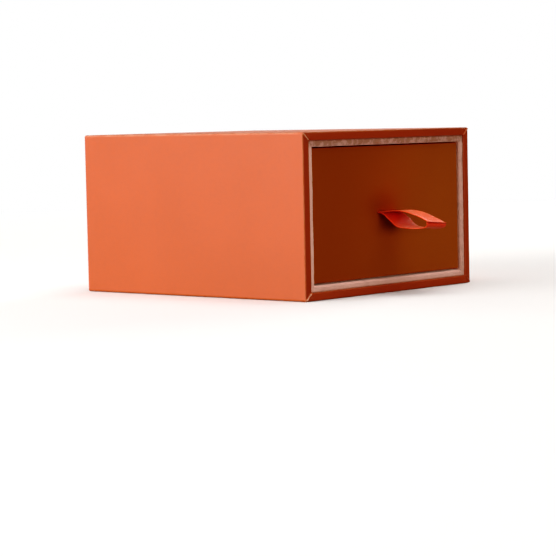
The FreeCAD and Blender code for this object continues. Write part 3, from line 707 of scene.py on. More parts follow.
# --------------------------------------------------------------- flat sheets
def plate(us, vs, front, back, hole=None, taper=0.0):
    """A thin closed plate on a grid. front and back give its two faces' heights, and hole
    says which cells are cut through."""
    us, vs = np.asarray(us, float), np.asarray(vs, float)
    nu, nv = len(us), len(vs)
    gu, gv = np.meshgrid(us, vs, indexing="ij")
    a = np.stack([gu, gv, front(gu, gv)], axis=-1).reshape(-1, 3)
    b = np.stack([gu, gv, back(gu, gv)], axis=-1).reshape(-1, 3)
    off = nu * nv
    keep = np.ones((nu - 1, nv - 1), bool)
    if hole is not None:
        cu, cv = (us[:-1] + us[1:]) / 2, (vs[:-1] + vs[1:]) / 2
        keep &= ~hole(*np.meshgrid(cu, cv, indexing="ij"))
    faces, edges = [], {}
    for i in range(nu - 1):
        for j in range(nv - 1):
            if not keep[i, j]:
                continue
            q = (i * nv + j, (i + 1) * nv + j, (i + 1) * nv + j + 1, i * nv + j + 1)
            faces.append(q)
            faces.append(tuple(off + v for v in reversed(q)))
            for e in zip(q, q[1:] + q[:1]):
                key = tuple(sorted(e))
                edges[key] = None if key in edges else e
    for e in edges.values():
        if e is not None:
            faces.append((e[1], e[0], off + e[0], off + e[1]))
    return np.concatenate([a, b]), faces


def stops(lo, hi, step, near=(0.08, 0.25)):
    return [v[0] for v in divide((lo, 0), (hi, 0), step, near)] + [hi]


xs, zs = stops(-37.7, 37.7, 1.4), stops(1.8, 46.2, 1.3)


def lap_shows(u, v):
    """The back sheet sinks a little where no turned-over paper lies under it."""
    return smooth(0, 1.4, 30.4 - np.abs(u)) * smooth(0, 1.4, 14.9 - np.abs(v - 24.0))


def back_face(u, v):
    q = np.stack([u.ravel(), v.ravel(), np.zeros(u.size)], axis=1)
    slow = rough(q, 17.0, 5.0).reshape(u.shape) * 0.03
    edge = np.minimum(37.7 - np.abs(u), 22.2 - np.abs(v - 24.0))
    return 44.0 - 0.11 * lap_shows(u, v) - np.abs(slow) - 0.07 * bell(edge, 0.07)


verts, faces = plate(xs, zs, back_face, lambda u, v: 43.78 - 0.13 * lap_shows(u, v))
verts = verts[:, [0, 2, 1]]
back_sheet = make("back_sheet", verts, faces)
p = points_of(back_sheet)
edge = np.minimum(37.7 - np.abs(p[:, 0]), 22.2 - np.abs(p[:, 2] - 24.0))
paint(back_sheet, "fold", 0.42 * bell(edge, 0.12))
finish_piece(back_sheet, orange_paper, "sleeve", ["sleeve_back_paper"])


# ---------------------------------------------------------------------- liner
LINER_IN = 4.3  # its inner face, in from the sleeve's outside


def liner_covering():
    outer = rounded(
        [(2.42, -31.6), (2.42, -43.78), (LINER_IN, -43.78), (LINER_IN, 41.4)],
        [0, 0.46, 0.72, 0],
        step=3.5,
        seg=10,
        guard=(0.1, 0.5),
    )
    inner = rounded(
        [(LINER_IN - 0.18, 41.4), (LINER_IN - 0.18, -43.56), (2.6, -43.56), (2.6, -31.6)],
        [0, 0.54, 0.28, 0],
        step=6.0,
        seg=4,
        guard=(0.2,),
    )
    loop = outer + inner
    near = (0.06, 0.14, 0.24, 0.36, 0.5)
    ring = Ring(
        fractions(HX - 3.0, 0.30, near), fractions(HZ - 3.0, 0.30, near), corner=3
    )
    rows, lean = [], []
    for i, (d, y) in enumerate(loop):
        flat = ring.points(HX - d, HZ - d, 0.10)
        rows.append(np.column_stack([flat[:, 0], np.full(len(flat), y), flat[:, 1]]))
        before, after = loop[i - 1], loop[(i + 1) % len(loop)]
        along = np.array([after[0] - before[0], after[1] - before[1]])
        along /= max(np.linalg.norm(along), 1e-9)
        lean.append((along[1], -along[0]))  # the nap's direction, out of the card
    n = len(rows[0])
    verts = np.concatenate(rows)
    inward = np.concatenate([np.full(n, d) for d, _ in loop])
    lean = np.repeat(np.array(lean), n, axis=0)
    outside = np.zeros(len(verts), bool)
    outside[: len(outer) * n] = True
    if (lean[(inward < 2.5) & outside][:, 0] > 0).any():
        lean = -lean
    du, dv = HX - np.abs(verts[:, 0]), HZ - np.abs(verts[:, 2])
    front = smooth(-42.0, -43.0, verts[:, 1]) * outside * smooth(2.43, 2.56, inward)
    # four covered cards meet at the corners, with a soft crease between them
    crease = bell(du - dv, 0.18) * smooth(2.3, 2.9, (du + dv) / 2)
    verts[:, 1] += 0.34 * crease * front
    # the nap makes a soft, slightly lumpy surface
    nap = rough(verts, 0.62, 6.0) * 0.055 + rough(verts, 1.9, 7.0) * 0.06
    nap += rough(verts, 6.0, 8.0) * 0.05 - 0.03
    nap = np.minimum(nap, 0.09) * front
    verts[:, 1] += lean[:, 1] * nap
    shift = lean[:, 0] * nap
    verts[:, 0] -= np.where(du < dv, np.sign(verts[:, 0]) * shift, 0)
    verts[:, 2] -= np.where(dv <= du, np.sign(verts[:, 2]) * shift, 0)
    # the liner isn't quite in the middle
    verts[:, 0] += 0.32 * smooth(-33.0, -36.7, verts[:, 0]) * smooth(-36.0, -41.0, verts[:, 1])
    verts[:, 2] += MIDZ
    return verts, grid_faces(len(loop), n)


verts, faces = liner_covering()
liner = make("liner_covering", verts, faces)
p = points_of(liner)
near_front = smooth(-40.0, -43.3, p[:, 1])
deep_shade = smooth(-42.9, -41.5, p[:, 1]) * smooth(-30.0, -38.0, p[:, 1])
rim_side = bell(np.minimum(HX - np.abs(p[:, 0]), HZ - np.abs(p[:, 2] - MIDZ)) - 2.45, 0.30)
upper = smooth(43.0, 45.0, p[:, 2])
right_side = smooth(33.5, 35.5, p[:, 0])
# painted shade on the liner's front: the top band darkest, then the edges next to the border, the right band and the
# inside just behind the mouth, over random darker patches of the nap
nap_tone_and_shade = (0.02 + 0.24 * rough(p, 4.0, 40.0)) * near_front
nap_tone_and_shade += (1.70 * upper + 0.36 * right_side + 0.40 * rim_side) * near_front + 0.25 * deep_shade
paint(liner, "fold", np.clip(nap_tone_and_shade, 0, 1.7))
finish_piece(liner, pink_paper, "sleeve", ["liner_paper_pink"])

# --------------------------------------------------------------------- drawer
TX, TY, MIDY = 34.8, 42.0, -1.1  # half sizes over the paper, and the middle
SLIT_Z, SLIT_X, SLIT_H = 23.75, 4.7, 0.9
FRONT, RIM, BASE = -43.1, 43.4, 4.6
slit_xs = sorted(
    {round(v, 4) for v in [*np.linspace(-SLIT_X, SLIT_X, 27), -4.58, 4.58, -4.45, 4.45]}
)
slit_near = [
    s * (SLIT_X + v)
    for s in (-1, 1)
    for v in (0.08, 0.2, 0.4, 0.7, 1.1, 1.6, 2.2, 3.0, 4.0, 5.2)
]
slit_levels = [SLIT_Z + s * v for s in (-1, 1) for v in (SLIT_H / 2, 0.2)] + [
    SLIT_Z + s * (SLIT_H / 2 + v)
    for s in (-1, 1)
    for v in (0.08, 0.2, 0.4, 0.7, 1.1, 1.6, 2.2, 3.0, 4.0, 5.2)
]


def dimple(x, z):
    """The front is pressed in a little where the ribbon pulls on its slit."""
    dx = np.maximum(np.abs(x) - SLIT_X + 0.6, 0)
    dz = np.abs(z - SLIT_Z)
    r = np.sqrt(dx**2 + dz**2)
    return 0.26 * np.exp(-((r / 1.5) ** 1.3)) + 0.08 * np.exp(-((r / 4.5) ** 2))


def tray_covering():
    outer = rounded(
        [(9.0, 4.8), (0.0, 4.8), (0.0, RIM), (2.0, RIM), (2.0, RIM - 10)],
        [0, 0.36, 0.30, 0.30, 0],
        step=1.9,
        seg=6,
        guard=(0.05, 0.3),
    )
    outer = refine(outer, RIM, [0.41, 0.55, 0.75, 0.95, 1.15, 1.35, 1.55, 1.65])
    inner = rounded(
        [(1.8, RIM - 10), (1.8, RIM - 0.2), (0.2, RIM - 0.2), (0.2, 5.0), (9.0, 5.0)],
        [0, 0.12, 0.18, 0.18, 0],
        step=1.9,
        seg=4,
        guard=(0.1,),
    )
    outer = with_levels(thin(outer, slit_levels, 0.3), slit_levels)
    inner = with_levels(thin(inner, slit_levels, 0.3), slit_levels)
    loop = outer + inner
    half = TX - 0.5
    centre_xs = sorted(slit_xs + slit_near)
    ring = Ring(
        fractions(half, 1.8, MITRE[:-1], centre_xs),
        fractions(TY - 0.5, 2.2, MITRE[:-1]),
        corner=6,
    )
    rows = []
    for d, z in loop:
        flat = ring.points(TX - d, TY - d, max(0.5 - d, 0.05))
        rows.append(np.column_stack([flat[:, 0], flat[:, 1], np.full(len(flat), z)]))
    n = len(rows[0])
    verts = np.concatenate(rows)
    count = len(ring.fu)
    cols = [j for j in range(count) if abs(ring.fu[j] * half) < SLIT_X + 1e-6]
    outer_rows = {
        round(z, 4): i
        for i, (d, z) in enumerate(loop)
        if d == 0.0 and abs(z - SLIT_Z) < SLIT_H / 2 + 1e-4
    }
    inner_rows = {
        round(z, 4): i
        for i, (d, z) in enumerate(loop)
        if abs(d - 0.2) < 1e-9 and abs(z - SLIT_Z) < SLIT_H / 2 + 1e-4
    }
    levels = sorted(outer_rows)
    assert levels == sorted(inner_rows), (levels, sorted(inner_rows))
    cut = set()
    for table in (outer_rows, inner_rows):
        lo = min(table.values())
        for i in range(lo, lo + len(levels) - 1):
            for j in cols[:-1]:
                cut.add((i, j))
    faces = []
    for i in range(len(loop)):
        a, b = i * n, ((i + 1) % len(loop)) * n
        for j in range(n):
            if (i, j) in cut:
                continue
            k = (j + 1) % n
            faces.append((a + j, a + k, b + k, b + j))
    rim = [(levels[0], j) for j in cols]
    rim += [(v, cols[-1]) for v in levels[1:]]
    rim += [(levels[-1], j) for j in reversed(cols[:-1])]
    rim += [(v, cols[0]) for v in reversed(levels[1:-1])]
    for (z0, j0), (z1, j1) in zip(rim, rim[1:] + rim[:1]):
        faces.append(
            (
                outer_rows[z0] * n + j0,
                outer_rows[z1] * n + j1,
                inner_rows[z1] * n + j1,
                inner_rows[z0] * n + j0,
            )
        )
    inward = np.concatenate([np.full(n, d) for d, _ in loop])
    outside = np.zeros(len(verts), bool)
    outside[: len(outer) * n] = True
    du, dv = TX - np.abs(verts[:, 0]), TY - np.abs(verts[:, 1])
    x, z = verts[:, 0], verts[:, 2]
    # mitred folds on the rim and under the base
    rise = mitre_fold(du, dv, np.where(verts[:, 1] < 0, 1.0, -1.0)) * 0.7
    on_rim = smooth(RIM - 0.5, RIM - 0.1, z) * outside * smooth(0.0, 0.2, inward)
    verts[:, 2] += np.clip(rise, -0.06, 0.10) * on_rim
    # slit: its ends taper, its lips turn in and the paper round it is pressed
    at_front = (verts[:, 1] < -TY + 0.25) & (np.abs(x) < TX - 0.45)
    lips = at_front & (np.abs(z - SLIT_Z) < SLIT_H / 2 + 1e-3) & (np.abs(x) < SLIT_X + 1e-3)
    narrow = 0.12 + 0.88 * np.sqrt(np.clip(1 - (np.abs(x) / 4.75) ** 4, 0, 1))
    verts[:, 2] = np.where(lips, SLIT_Z + (z - SLIT_Z) * narrow, z)
    edge = TX - 0.1 - np.abs(x)
    bow = rough(verts, 22.0, 9.0) * 0.05 + rough(verts, 6.0, 10.0) * 0.014
    fade = smooth(0.6, 4.0, z - 4.8) * smooth(0.6, 4.0, RIM - z)
    push = np.abs(bow) * fade * smooth(0.4, 3.0, edge) + dimple(x, z)
    verts[:, 1] += push * at_front
    at_side = np.abs(x) > TX - 0.25
    verts[:, 0] -= np.sign(x) * np.abs(bow) * fade * at_side * smooth(0.5, 4.0, dv)
    at_rear = verts[:, 1] > TY - 0.25
    verts[:, 1] -= np.abs(bow) * fade * at_rear * smooth(0.5, 4.0, du)
    verts[:, 1] += MIDY
    return verts, faces


verts, faces = tray_covering()
tray_wrap = make("drawer_covering", verts, faces)
p = points_of(tray_wrap)
gaps = np.sort(
    np.column_stack(
        [
            np.abs(TX - np.abs(p[:, 0])),
            np.abs(TY - np.abs(p[:, 1] - MIDY)),
            np.abs(p[:, 2] - RIM),
            np.abs(p[:, 2] - 4.8),
        ]
    ),
    axis=1,
)
inside_rim = np.minimum(
    np.abs(TX - 2.0 - np.abs(p[:, 0])), np.abs(TY - 2.0 - np.abs(p[:, 1] - MIDY))
)
fold = np.maximum(
    bell(gaps[:, 1], 0.26), 0.6 * bell(inside_rim, 0.2) * bell(p[:, 2] - RIM, 0.3)
)
lip = bell(np.abs(p[:, 2] - SLIT_Z) - SLIT_H / 2, 0.10) * (np.abs(p[:, 0]) < SLIT_X + 0.1)
lip = lip * (p[:, 1] < -42.2)
paint(tray_wrap, "fold", np.maximum(fold * 0.9, lip * 0.35))
# painted shade on the drawer front: darker towards its left, with a painted shadow above and left of the slit; the
# rest of the drawer's paper gets an even darker tone
across_front = smooth(30.0, -30.0, p[:, 0] - 0.25 * (p[:, 2] - 24.0))
slit_shadow = np.exp(-(((p[:, 0] + 3.0) / 6.0) ** 2 + ((p[:, 2] - 26.0) / 3.2) ** 2))
tone_and_shade = np.maximum(across_front, 0) + 0.95 * slit_shadow
on_front = smooth(-40.0, -43.0, p[:, 1])
paint(tray_wrap, "tone_and_shade", tone_and_shade * on_front + 0.6 * (1 - on_front))
finish_piece(
    tray_wrap, burnt_paper, "drawer", ["tray_wrap_paper"]
)


# front board, pressed in behind the paper, with its slot
def board_front(u, v):
    return -42.9 + dimple(u, v) + 0.05


xs = sorted(set([*stops(-33.0, 33.0, 4.0), *slit_xs, *slit_near]))
xs = [v for v in xs if abs(v) > 10.6 or v in slit_xs or v in slit_near]
zs = sorted(set([5.0, 7.0, 10.0, 13.0, 16.0, 31.0, 34.0, 37.0, 40.0, 43.2,
                 *[SLIT_Z + s * v for s in (-1, 1) for v in (1.0, 1.15, 1.5, 2.0, 2.8, 4.0, 5.5)]]))
verts, faces = plate(
    xs,
    zs,
    board_front,
    lambda u, v: np.full(u.shape, -41.3),
    hole=lambda u, v: (np.abs(u) < SLIT_X) & (np.abs(v - SLIT_Z) < 1.0),
)
front_board = make("drawer_front_board", verts[:, [0, 2, 1]], faces)
finish_piece(front_board, greyboard, "drawer", ["tray_front_board"])

# base sheet under the drawer
xs, ys = stops(-33.0, 33.0, 2.0), stops(MIDY - 40.2, MIDY + 40.2, 2.0)


def base_under(u, v):
    q = np.stack([u.ravel(), v.ravel(), np.zeros(u.size)], axis=1)
    slow = np.abs(rough(q, 15.0, 12.0).reshape(u.shape)) * 0.05
    edge = np.minimum(33.0 - np.abs(u), 40.2 - np.abs(v - MIDY))
    lap = smooth(0, 1.2, 25.8 - np.abs(u)) * smooth(0, 1.2, 33.0 - np.abs(v - MIDY))
    return BASE + slow + 0.10 * lap + 0.06 * bell(edge, 0.08)


verts, faces = plate(xs, ys, base_under, lambda u, v: np.full(u.shape, 4.82))
base_sheet = make("drawer_base_sheet", verts, faces)
p = points_of(base_sheet)
edge = np.minimum(33.0 - np.abs(p[:, 0]), 40.2 - np.abs(p[:, 1] - MIDY))
paint(base_sheet, "fold", 0.7 * bell(edge, 0.12))
finish_piece(base_sheet, burnt_paper, "drawer", ["tray_base_paper"])


# drawer's wall lining: a strip round the inside, a little short of the rim
def wall_lining():
    loop = rounded(
        [(2.2, 6.6), (2.2, 40.4), (2.04, 40.4), (2.04, 6.6)],
        [0, 0.06, 0.06, 0],
        step=1.6,
        seg=3,
        guard=(0.1,),
    )
    ring = Ring(fractions(TX - 2.7, 1.6), fractions(TY - 2.7, 1.6), corner=4)
    rows = []
    for d, z in loop:
        flat = ring.points(TX - d, TY - d, 0.45)
        rows.append(np.column_stack([flat[:, 0], flat[:, 1], np.full(len(flat), z)]))
    n = len(rows[0])
    verts = np.concatenate(rows)
    du, dv = TX - np.abs(verts[:, 0]), TY - np.abs(verts[:, 1])
    lift = smooth(35.9, 40.3, verts[:, 2])
    verts[:, 2] += rough(verts * [1, 1, 0], 14.0, 13.0) * 0.16 * lift
    bulge = (rough(verts, 13.0, 14.0) * 0.5 + 0.5) * 0.10 * smooth(6.6, 12.0, verts[:, 2])
    inner = smooth(2.1, 2.19, np.minimum(du, dv))
    bulge = bulge * inner * (1 - lift * 0.6)
    verts[:, 0] -= np.where(du < dv, np.sign(verts[:, 0]) * bulge * smooth(0.5, 3.0, dv - 2.2), 0)
    verts[:, 1] -= np.where(dv <= du, np.sign(verts[:, 1]) * bulge * smooth(0.5, 3.0, du - 2.2), 0)
    verts[:, 1] += MIDY
    return verts, grid_faces(len(loop), n)


verts, faces = wall_lining()
lining = make("drawer_wall_lining", verts, faces)
finish_piece(lining, pink_paper, "drawer", ["tray_wall_lining"])


# ------------------------------------------------------------------ ring pad
# the velvet over the pad's top, held round its edge and along its slit and pushed up by the foam
TOP_XS, TOP_YS = np.linspace(-31.2, 31.2, 57), np.linspace(-38.4, 38.4, 71)


def velvet_top():
    """How far each point of the pad's top moves, in mm. The cloth is simulated at ten times
    its size, with a little slack, and only this displacement is kept."""
    gx, gy = np.meshgrid(TOP_XS, TOP_YS)
    flat = np.column_stack([gx.ravel(), gy.ravel(), np.zeros(gx.size)])
    from_slit = np.sqrt(np.maximum(np.abs(flat[:, 0]) - 11.0, 0) ** 2 + flat[:, 1] ** 2)
    start = flat.copy()
    start[:, 2] = -0.9 * bell(from_slit, 2.4) + rough(flat, 7.0, 21.0) * 0.05
    edge = np.minimum(31.2 - np.abs(flat[:, 0]), 38.4 - np.abs(flat[:, 1]))
    start[:, 2] *= smooth(0.0, 3.0, edge)
    nx, ny = len(TOP_XS), len(TOP_YS)
    faces = [
        (j * nx + i, j * nx + i + 1, (j + 1) * nx + i + 1, (j + 1) * nx + i)
        for j in range(ny - 1)
        for i in range(nx - 1)
    ]
    mesh = bpy.data.meshes.new("velvet_sheet")
    mesh.from_pydata((start * 0.01).tolist(), [], faces)
    sheet = bpy.data.objects.new("velvet_sheet", mesh)
    scene = bpy.context.scene
    scene.collection.objects.link(sheet)
    held = sheet.vertex_groups.new(name="held")
    held.add([int(i) for i in np.nonzero((edge < 0.6) | (from_slit < 0.75))[0]], 1.0, "REPLACE")
    cloth = sheet.modifiers.new("velvet", "CLOTH")
    how = cloth.settings
    how.quality = 6
    how.mass = 0.3
    how.tension_stiffness = how.compression_stiffness = 15.0
    how.shear_stiffness = 5.0
    how.bending_stiffness = 0.5
    how.vertex_group_mass = "held"
    how.use_pressure = True
    how.uniform_pressure_force = 8.0
    how.shrink_min = -0.03
    how.effector_weights.gravity = 0.0
    cloth.collision_settings.use_collision = False
    cloth.point_cache.frame_start, cloth.point_cache.frame_end = 1, 30
    for step in range(1, 31):
        scene.frame_set(step)
    graph = bpy.context.evaluated_depsgraph_get()
    done = sheet.evaluated_get(graph).to_mesh()
    after = np.empty(len(done.vertices) * 3, np.float64)
    done.vertices.foreach_get("co", after)
    sheet.evaluated_get(graph).to_mesh_clear()
    scene.frame_set(1)
    bpy.data.objects.remove(sheet)
    bpy.data.meshes.remove(mesh)
    return (after.reshape(-1, 3) * 100.0 - flat).reshape(ny, nx, 3)


VELVET = velvet_top()[:, :, 2]


def velvet_rise(x, y):
    """The simulated rise at any point of the top, in mm. The foam under it allows a third."""
    u = np.clip((x - TOP_XS[0]) / (TOP_XS[1] - TOP_XS[0]), 0, len(TOP_XS) - 1.001)
    v = np.clip((y - TOP_YS[0]) / (TOP_YS[1] - TOP_YS[0]), 0, len(TOP_YS) - 1.001)
    i, j = u.astype(int), v.astype(int)
    a, b = u - i, v - j
    rise = (VELVET[j, i] * (1 - a) + VELVET[j, i + 1] * a) * (1 - b)
    rise += (VELVET[j + 1, i] * (1 - a) + VELVET[j + 1, i + 1] * a) * b
    return np.clip(0.34 * rise, -0.4, 1.45)


def pad(shrink, name, slit_half, base=6.8):
    """A padded block with a lipped slit: rings run from under it, up its sides, over the top
    and down into the slit."""
    hx, hy = 32.3 - shrink, 39.5 - shrink
    top, low = 24.8 - shrink, base
    slit_long, floor_z = 12.0, 14.8
    rings = []
    for t in (22.0, 16.0, 10.0, 5.0, 2.5, 1.2):
        rings.append((hx - t, hy - t, 1.6, low))
    for k in range(5):
        a = math.radians(90 * k / 4)
        rings.append((hx - 0.9 + 0.9 * math.sin(a), hy - 0.9 + 0.9 * math.sin(a), 2.4, low + 0.9 - 0.9 * math.cos(a)))
    for z in np.linspace(low + 1.6, top - 2.8, 12):
        rings.append((hx, hy, 2.4, z))
    soft = 2.3
    for k in range(1, 9):
        a = math.radians(90 * k / 8)
        inset = soft * (1 - math.cos(a))
        rings.append((hx - inset, hy - inset, 2.4, top - soft + soft * math.sin(a)))
    t_in = soft
    for t in np.linspace(t_in, 1.0, 2)[:0]:
        pass
    spread = 5.0
    for k in range(1, 27):
        f = k / 27
        u0, v0 = hx - soft, hy - soft
        u1, v1 = slit_long + spread, slit_half + spread
        rings.append((u0 + (u1 - u0) * f, v0 + (v1 - v0) * f, 2.4 + (3.6 - 2.4) * f, top))
    for t in (5.0, 4.2, 3.5, 2.9, 2.4, 2.0, 1.65):
        rings.append((slit_long + t, slit_half + t, 0.5 + t * 0.75, top))
    lip = 1.35
    for k in range(1, 8):
        a = math.radians(90 * k / 8)
        t = lip * (1 - math.sin(a))
        rings.append((slit_long + t, slit_half + t, 0.5 + t * 0.75, top - lip * (1 - math.cos(a))))
    for z in np.linspace(top - lip, floor_z, 9):
        s = (top - lip - z) / (top - lip - floor_z)
        rings.append((slit_long - 0.5 * s, slit_half * (1 - 0.35 * s), 0.4 * (1 - 0.35 * s), z))
    ring = Ring(
        np.linspace(-1, 1, 46).tolist(), np.linspace(-1, 1, 48).tolist(), corner=8
    )
    rows = []
    for u, v, r, z in rings:
        flat = ring.points(u, v, min(r, u - 0.01, v - 0.01))
        rows.append(np.column_stack([flat[:, 0], flat[:, 1], np.full(len(flat), z)]))
    n = len(rows[0])
    verts = np.concatenate(rows)
    faces = grid_faces(len(rows), n, close_rows=False)
    faces.append(tuple(range(n)))
    faces.append(tuple((len(rows) - 1) * n + j for j in reversed(range(n))))
    x, y, z = verts.T.copy()
    # it crowns, its sides pull in between the corners, and its top dips to the slit
    high = smooth(low + 1.0, top - 3.0, z)
    out_x, out_y = np.abs(x) / hx, np.abs(y) / hy
    crown = 0.30 * np.maximum(out_x, out_y) ** 2.5
    far = np.sqrt(np.maximum(np.abs(x) - slit_long, 0) ** 2 + y**2)
    crown += 0.40 * bell(far, 5.5) * smooth(top - 3.2, top - 0.5, z)
    pucker = bell(np.abs(x) - slit_long - 1.2, 1.6) * bell(y, 3.2)
    verts[:, 2] -= crown * smooth(low + 3.0, top - 1.5, z)
    verts[:, 2] -= 0.35 * pucker * np.cos(y * 2.6) * smooth(top - 1.4, top - 0.3, z)
    pull = 0.42 * smooth(low, low + 4, z) * smooth(top + 0.2, low + 6, z)
    verts[:, 0] -= np.sign(x) * pull * np.clip(1 - (y / hy) ** 2, 0, 1) * (out_x > 0.9)
    verts[:, 1] -= np.sign(y) * pull * np.clip(1 - (x / hx) ** 2, 0, 1) * (out_y > 0.9)
    lump = rough(verts, 9.0, 15.0) * 0.12 + rough(verts, 3.5, 16.0) * 0.05
    verts[:, 2] -= np.abs(lump) * high * smooth(top - 4, top - 1, z)
    verts[:, 2] += (velvet_rise(x, y) - 1.15) * smooth(top - 4.2, top - 1.0, z)
    # the slit's lips aren't straight
    near_slit = bell(np.maximum(np.abs(y) - slit_half, 0), 2.2) * (np.abs(x) < slit_long + 3)
    verts[:, 1] += rough(np.column_stack([x, np.zeros(len(x)), z * 0.2]), 6.0, 17.0) * 0.22 * near_slit
    verts[:, 1] += MIDY
    return make(name, verts, faces)


cover = pad(0.0, "ring_pad_cover", 0.8)
finish_piece(cover, pink_velvet, "drawer", ["insert_cover"])
core = pad(0.55, "ring_pad_foam", 1.35, base=7.3)
finish_piece(core, foam, "drawer", ["foam_insert"])

# --------------------------------------------------------------- pull ribbon
PULL_TOP = [
    (3.1, 0.30), (6.5, 0.34), (10.0, -0.22), (12.9, -1.00), (15.0, -1.72), (16.5, -2.28),
    (17.5, -2.66),
]
PULL_LOW = [
    (17.58, -3.08), (17.80, -3.50), (17.42, -4.08), (16.4, -4.42), (14.3, -4.54), (10.8, -4.50), (6.9, -3.85), (3.75, -1.70), (1.55, -0.35),
]
TIP = (18.04, -2.84)
TAIL_Y = -41.5
route = (
    [(TAIL_Y, 32.0), (TAIL_Y, 27.6), (TAIL_Y, 24.5), (-41.9, 23.92)]
    + [(FRONT - u, SLIT_Z + v) for u, v in [*PULL_TOP, TIP, *PULL_LOW]]
    + [(-41.9, 23.58), (TAIL_Y, 23.0), (TAIL_Y, 19.8), (TAIL_Y, 15.5)]
)


def through(points, per=9):
    """A smooth line through the points, with centripetal spacing so that it doesn't overshoot."""
    pts = [np.array(q, float) for q in points]
    pts = [2 * pts[0] - pts[1]] + pts + [2 * pts[-1] - pts[-2]]
    out = []
    for i in range(1, len(pts) - 2):
        p0, p1, p2, p3 = pts[i - 1 : i + 3]
        t0 = 0.0
        t1 = t0 + np.linalg.norm(p1 - p0) ** 0.5
        t2 = t1 + np.linalg.norm(p2 - p1) ** 0.5
        t3 = t2 + np.linalg.norm(p3 - p2) ** 0.5
        for k in range(per):
            t = t1 + (t2 - t1) * k / per
            a1 = (t1 - t) / (t1 - t0) * p0 + (t - t0) / (t1 - t0) * p1
            a2 = (t2 - t) / (t2 - t1) * p1 + (t - t1) / (t2 - t1) * p2
            a3 = (t3 - t) / (t3 - t2) * p2 + (t - t2) / (t3 - t2) * p3
            b1 = (t2 - t) / (t2 - t0) * a1 + (t - t0) / (t2 - t0) * a2
            b2 = (t3 - t) / (t3 - t1) * a2 + (t - t1) / (t3 - t1) * a3
            out.append((t2 - t) / (t2 - t1) * b1 + (t - t1) / (t2 - t1) * b2)
    out.append(pts[-2])
    return np.array(out)


def spaced(line, step):
    d = np.r_[0, np.cumsum(np.linalg.norm(np.diff(line, axis=0), axis=1))]
    n = int(math.ceil(d[-1] / step))
    at = np.linspace(0, d[-1], n + 1)
    return np.column_stack([np.interp(at, d, line[:, k]) for k in (0, 1)]), at


def pull_ribbon():
    line, at = spaced(through(route, 14), 0.20)
    tangent = np.gradient(line, axis=0)
    tangent /= np.linalg.norm(tangent, axis=1)[:, None]
    normal = np.column_stack([-tangent[:, 1], tangent[:, 0]])  # away from the loop's inside
    across = [-5.0, -4.96, -4.85, -4.7, -4.5, -4.2, -3.6, -2.8, -2.0, -1.2, -0.4, 0.4, 1.2, 2.0, 2.8, 3.6, 4.2, 4.5, 4.7, 4.85, 4.96, 5.0]
    across = np.array(across)
    edge = np.abs(across)
    half = 0.11 + 0.03 * bell(edge - 4.72, 0.22)
    half = half * np.sqrt(np.clip(1 - ((edge - 4.8) / 0.21) ** 2, 0.02, 1) * (edge > 4.8) + (edge <= 4.8))
    section = [(x, h) for x, h in zip(across, half)] + [
        (x, -h) for x, h in zip(across[::-1][1:-1], half[::-1][1:-1])
    ]
    m = len(section)
    out = np.clip((FRONT - line[:, 0]) / 17.9, 0, 1)  # 0 at the slit and 1 at the tip
    tip_at = at[int(np.argmin(line[:, 0]))]
    in_slit = at[np.nonzero(np.abs(line[:, 0] - FRONT) < 0.25)[0]]
    verts, uvs = [], []
    for i, (y, z) in enumerate(line):
        reach = float(out[i])
        lower = float(smooth(-1.2, 1.6, at[i] - tip_at))
        # the loop is a little twisted: its upper run leans more than its lower one
        roll = math.radians(6.5 * (1 - lower) + 3.0 * lower) * float(smooth(0.08, 0.85, reach))
        lift = float(smooth(0.05, 0.5, reach) * smooth(1.02, 0.75, reach))
        gathered = float(bell(np.min(np.abs(in_slit - at[i])), 2.6))
        slim = 1.0 - 0.10 * gathered  # it is pinched by the slit
        ny, nz = normal[i]
        lean = (nz * math.sin(roll), ny, nz * math.cos(roll))
        for x, h in section:
            cup = 0.16 * (x / 5.0) ** 2 * lift  # the edges curl a little
            ripple = 0.04 * math.sin(x * 1.3 + at[i] * 0.9) * lift
            k = h - cup + ripple
            verts.append(
                (
                    x * slim * math.cos(roll) + lean[0] * k,
                    y + lean[1] * k + 0.06 * x * reach**2,
                    z - x * math.sin(roll) + lean[2] * k,
                )
            )
            uvs.append((at[i], x))
    rows = len(line)
    faces = grid_faces(rows, m, close_rows=False)
    faces.append(tuple(range(m)))
    faces.append(tuple((rows - 1) * m + j for j in reversed(range(m))))
    mesh = bpy.data.meshes.new("pull_ribbon_loop")
    mesh.from_pydata((np.array(verts) * MM).tolist(), [], faces)
    layer = mesh.uv_layers.new(name="weave")
    for loop in mesh.loops:
        layer.data[loop.index].uv = uvs[loop.vertex_index]
    b = bmesh.new()
    b.from_mesh(mesh)
    bmesh.ops.recalc_face_normals(b, faces=b.faces)
    b.to_mesh(mesh)
    b.free()
    mesh.shade_smooth()
    obj = bpy.data.objects.new("pull_ribbon_loop", mesh)
    along = np.array([at_u for at_u, _ in uvs])
    # painted shade: a thin dark line just past the fold at the loop's tip
    paint(obj, "crease", bell(along - tip_at - 0.32, 0.26))
    bpy.context.scene.collection.objects.link(obj)
    return obj, float(at[-1])


ribbon, ribbon_long = pull_ribbon()
print("pull ribbon, mm:", round(ribbon_long, 2))
finish_piece(ribbon, ribbon_red, "drawer", ["pull_ribbon"])

# --------------------------------------------------------------- floor, light
floor_mesh = bpy.data.meshes.new("floor")
floor_mesh.from_pydata(
    [(-40, -40, -0.00005), (40, -40, -0.00005), (40, 40, -0.00005), (-40, 40, -0.00005)],
    [],
    [(0, 1, 2, 3)],
)
floor = bpy.data.objects.new("floor", floor_mesh)
bpy.context.scene.collection.objects.link(floor)
pale = bpy.data.materials.new("pale_floor")
pale.use_nodes = True
ft = pale.node_tree
pb = ft.nodes["Principled BSDF"]
pb.inputs["Base Color"].default_value = (0.86, 0.855, 0.85, 1)
pb.inputs["Roughness"].default_value = 0.9
pb.inputs["Specular IOR Level"].default_value = 0.1
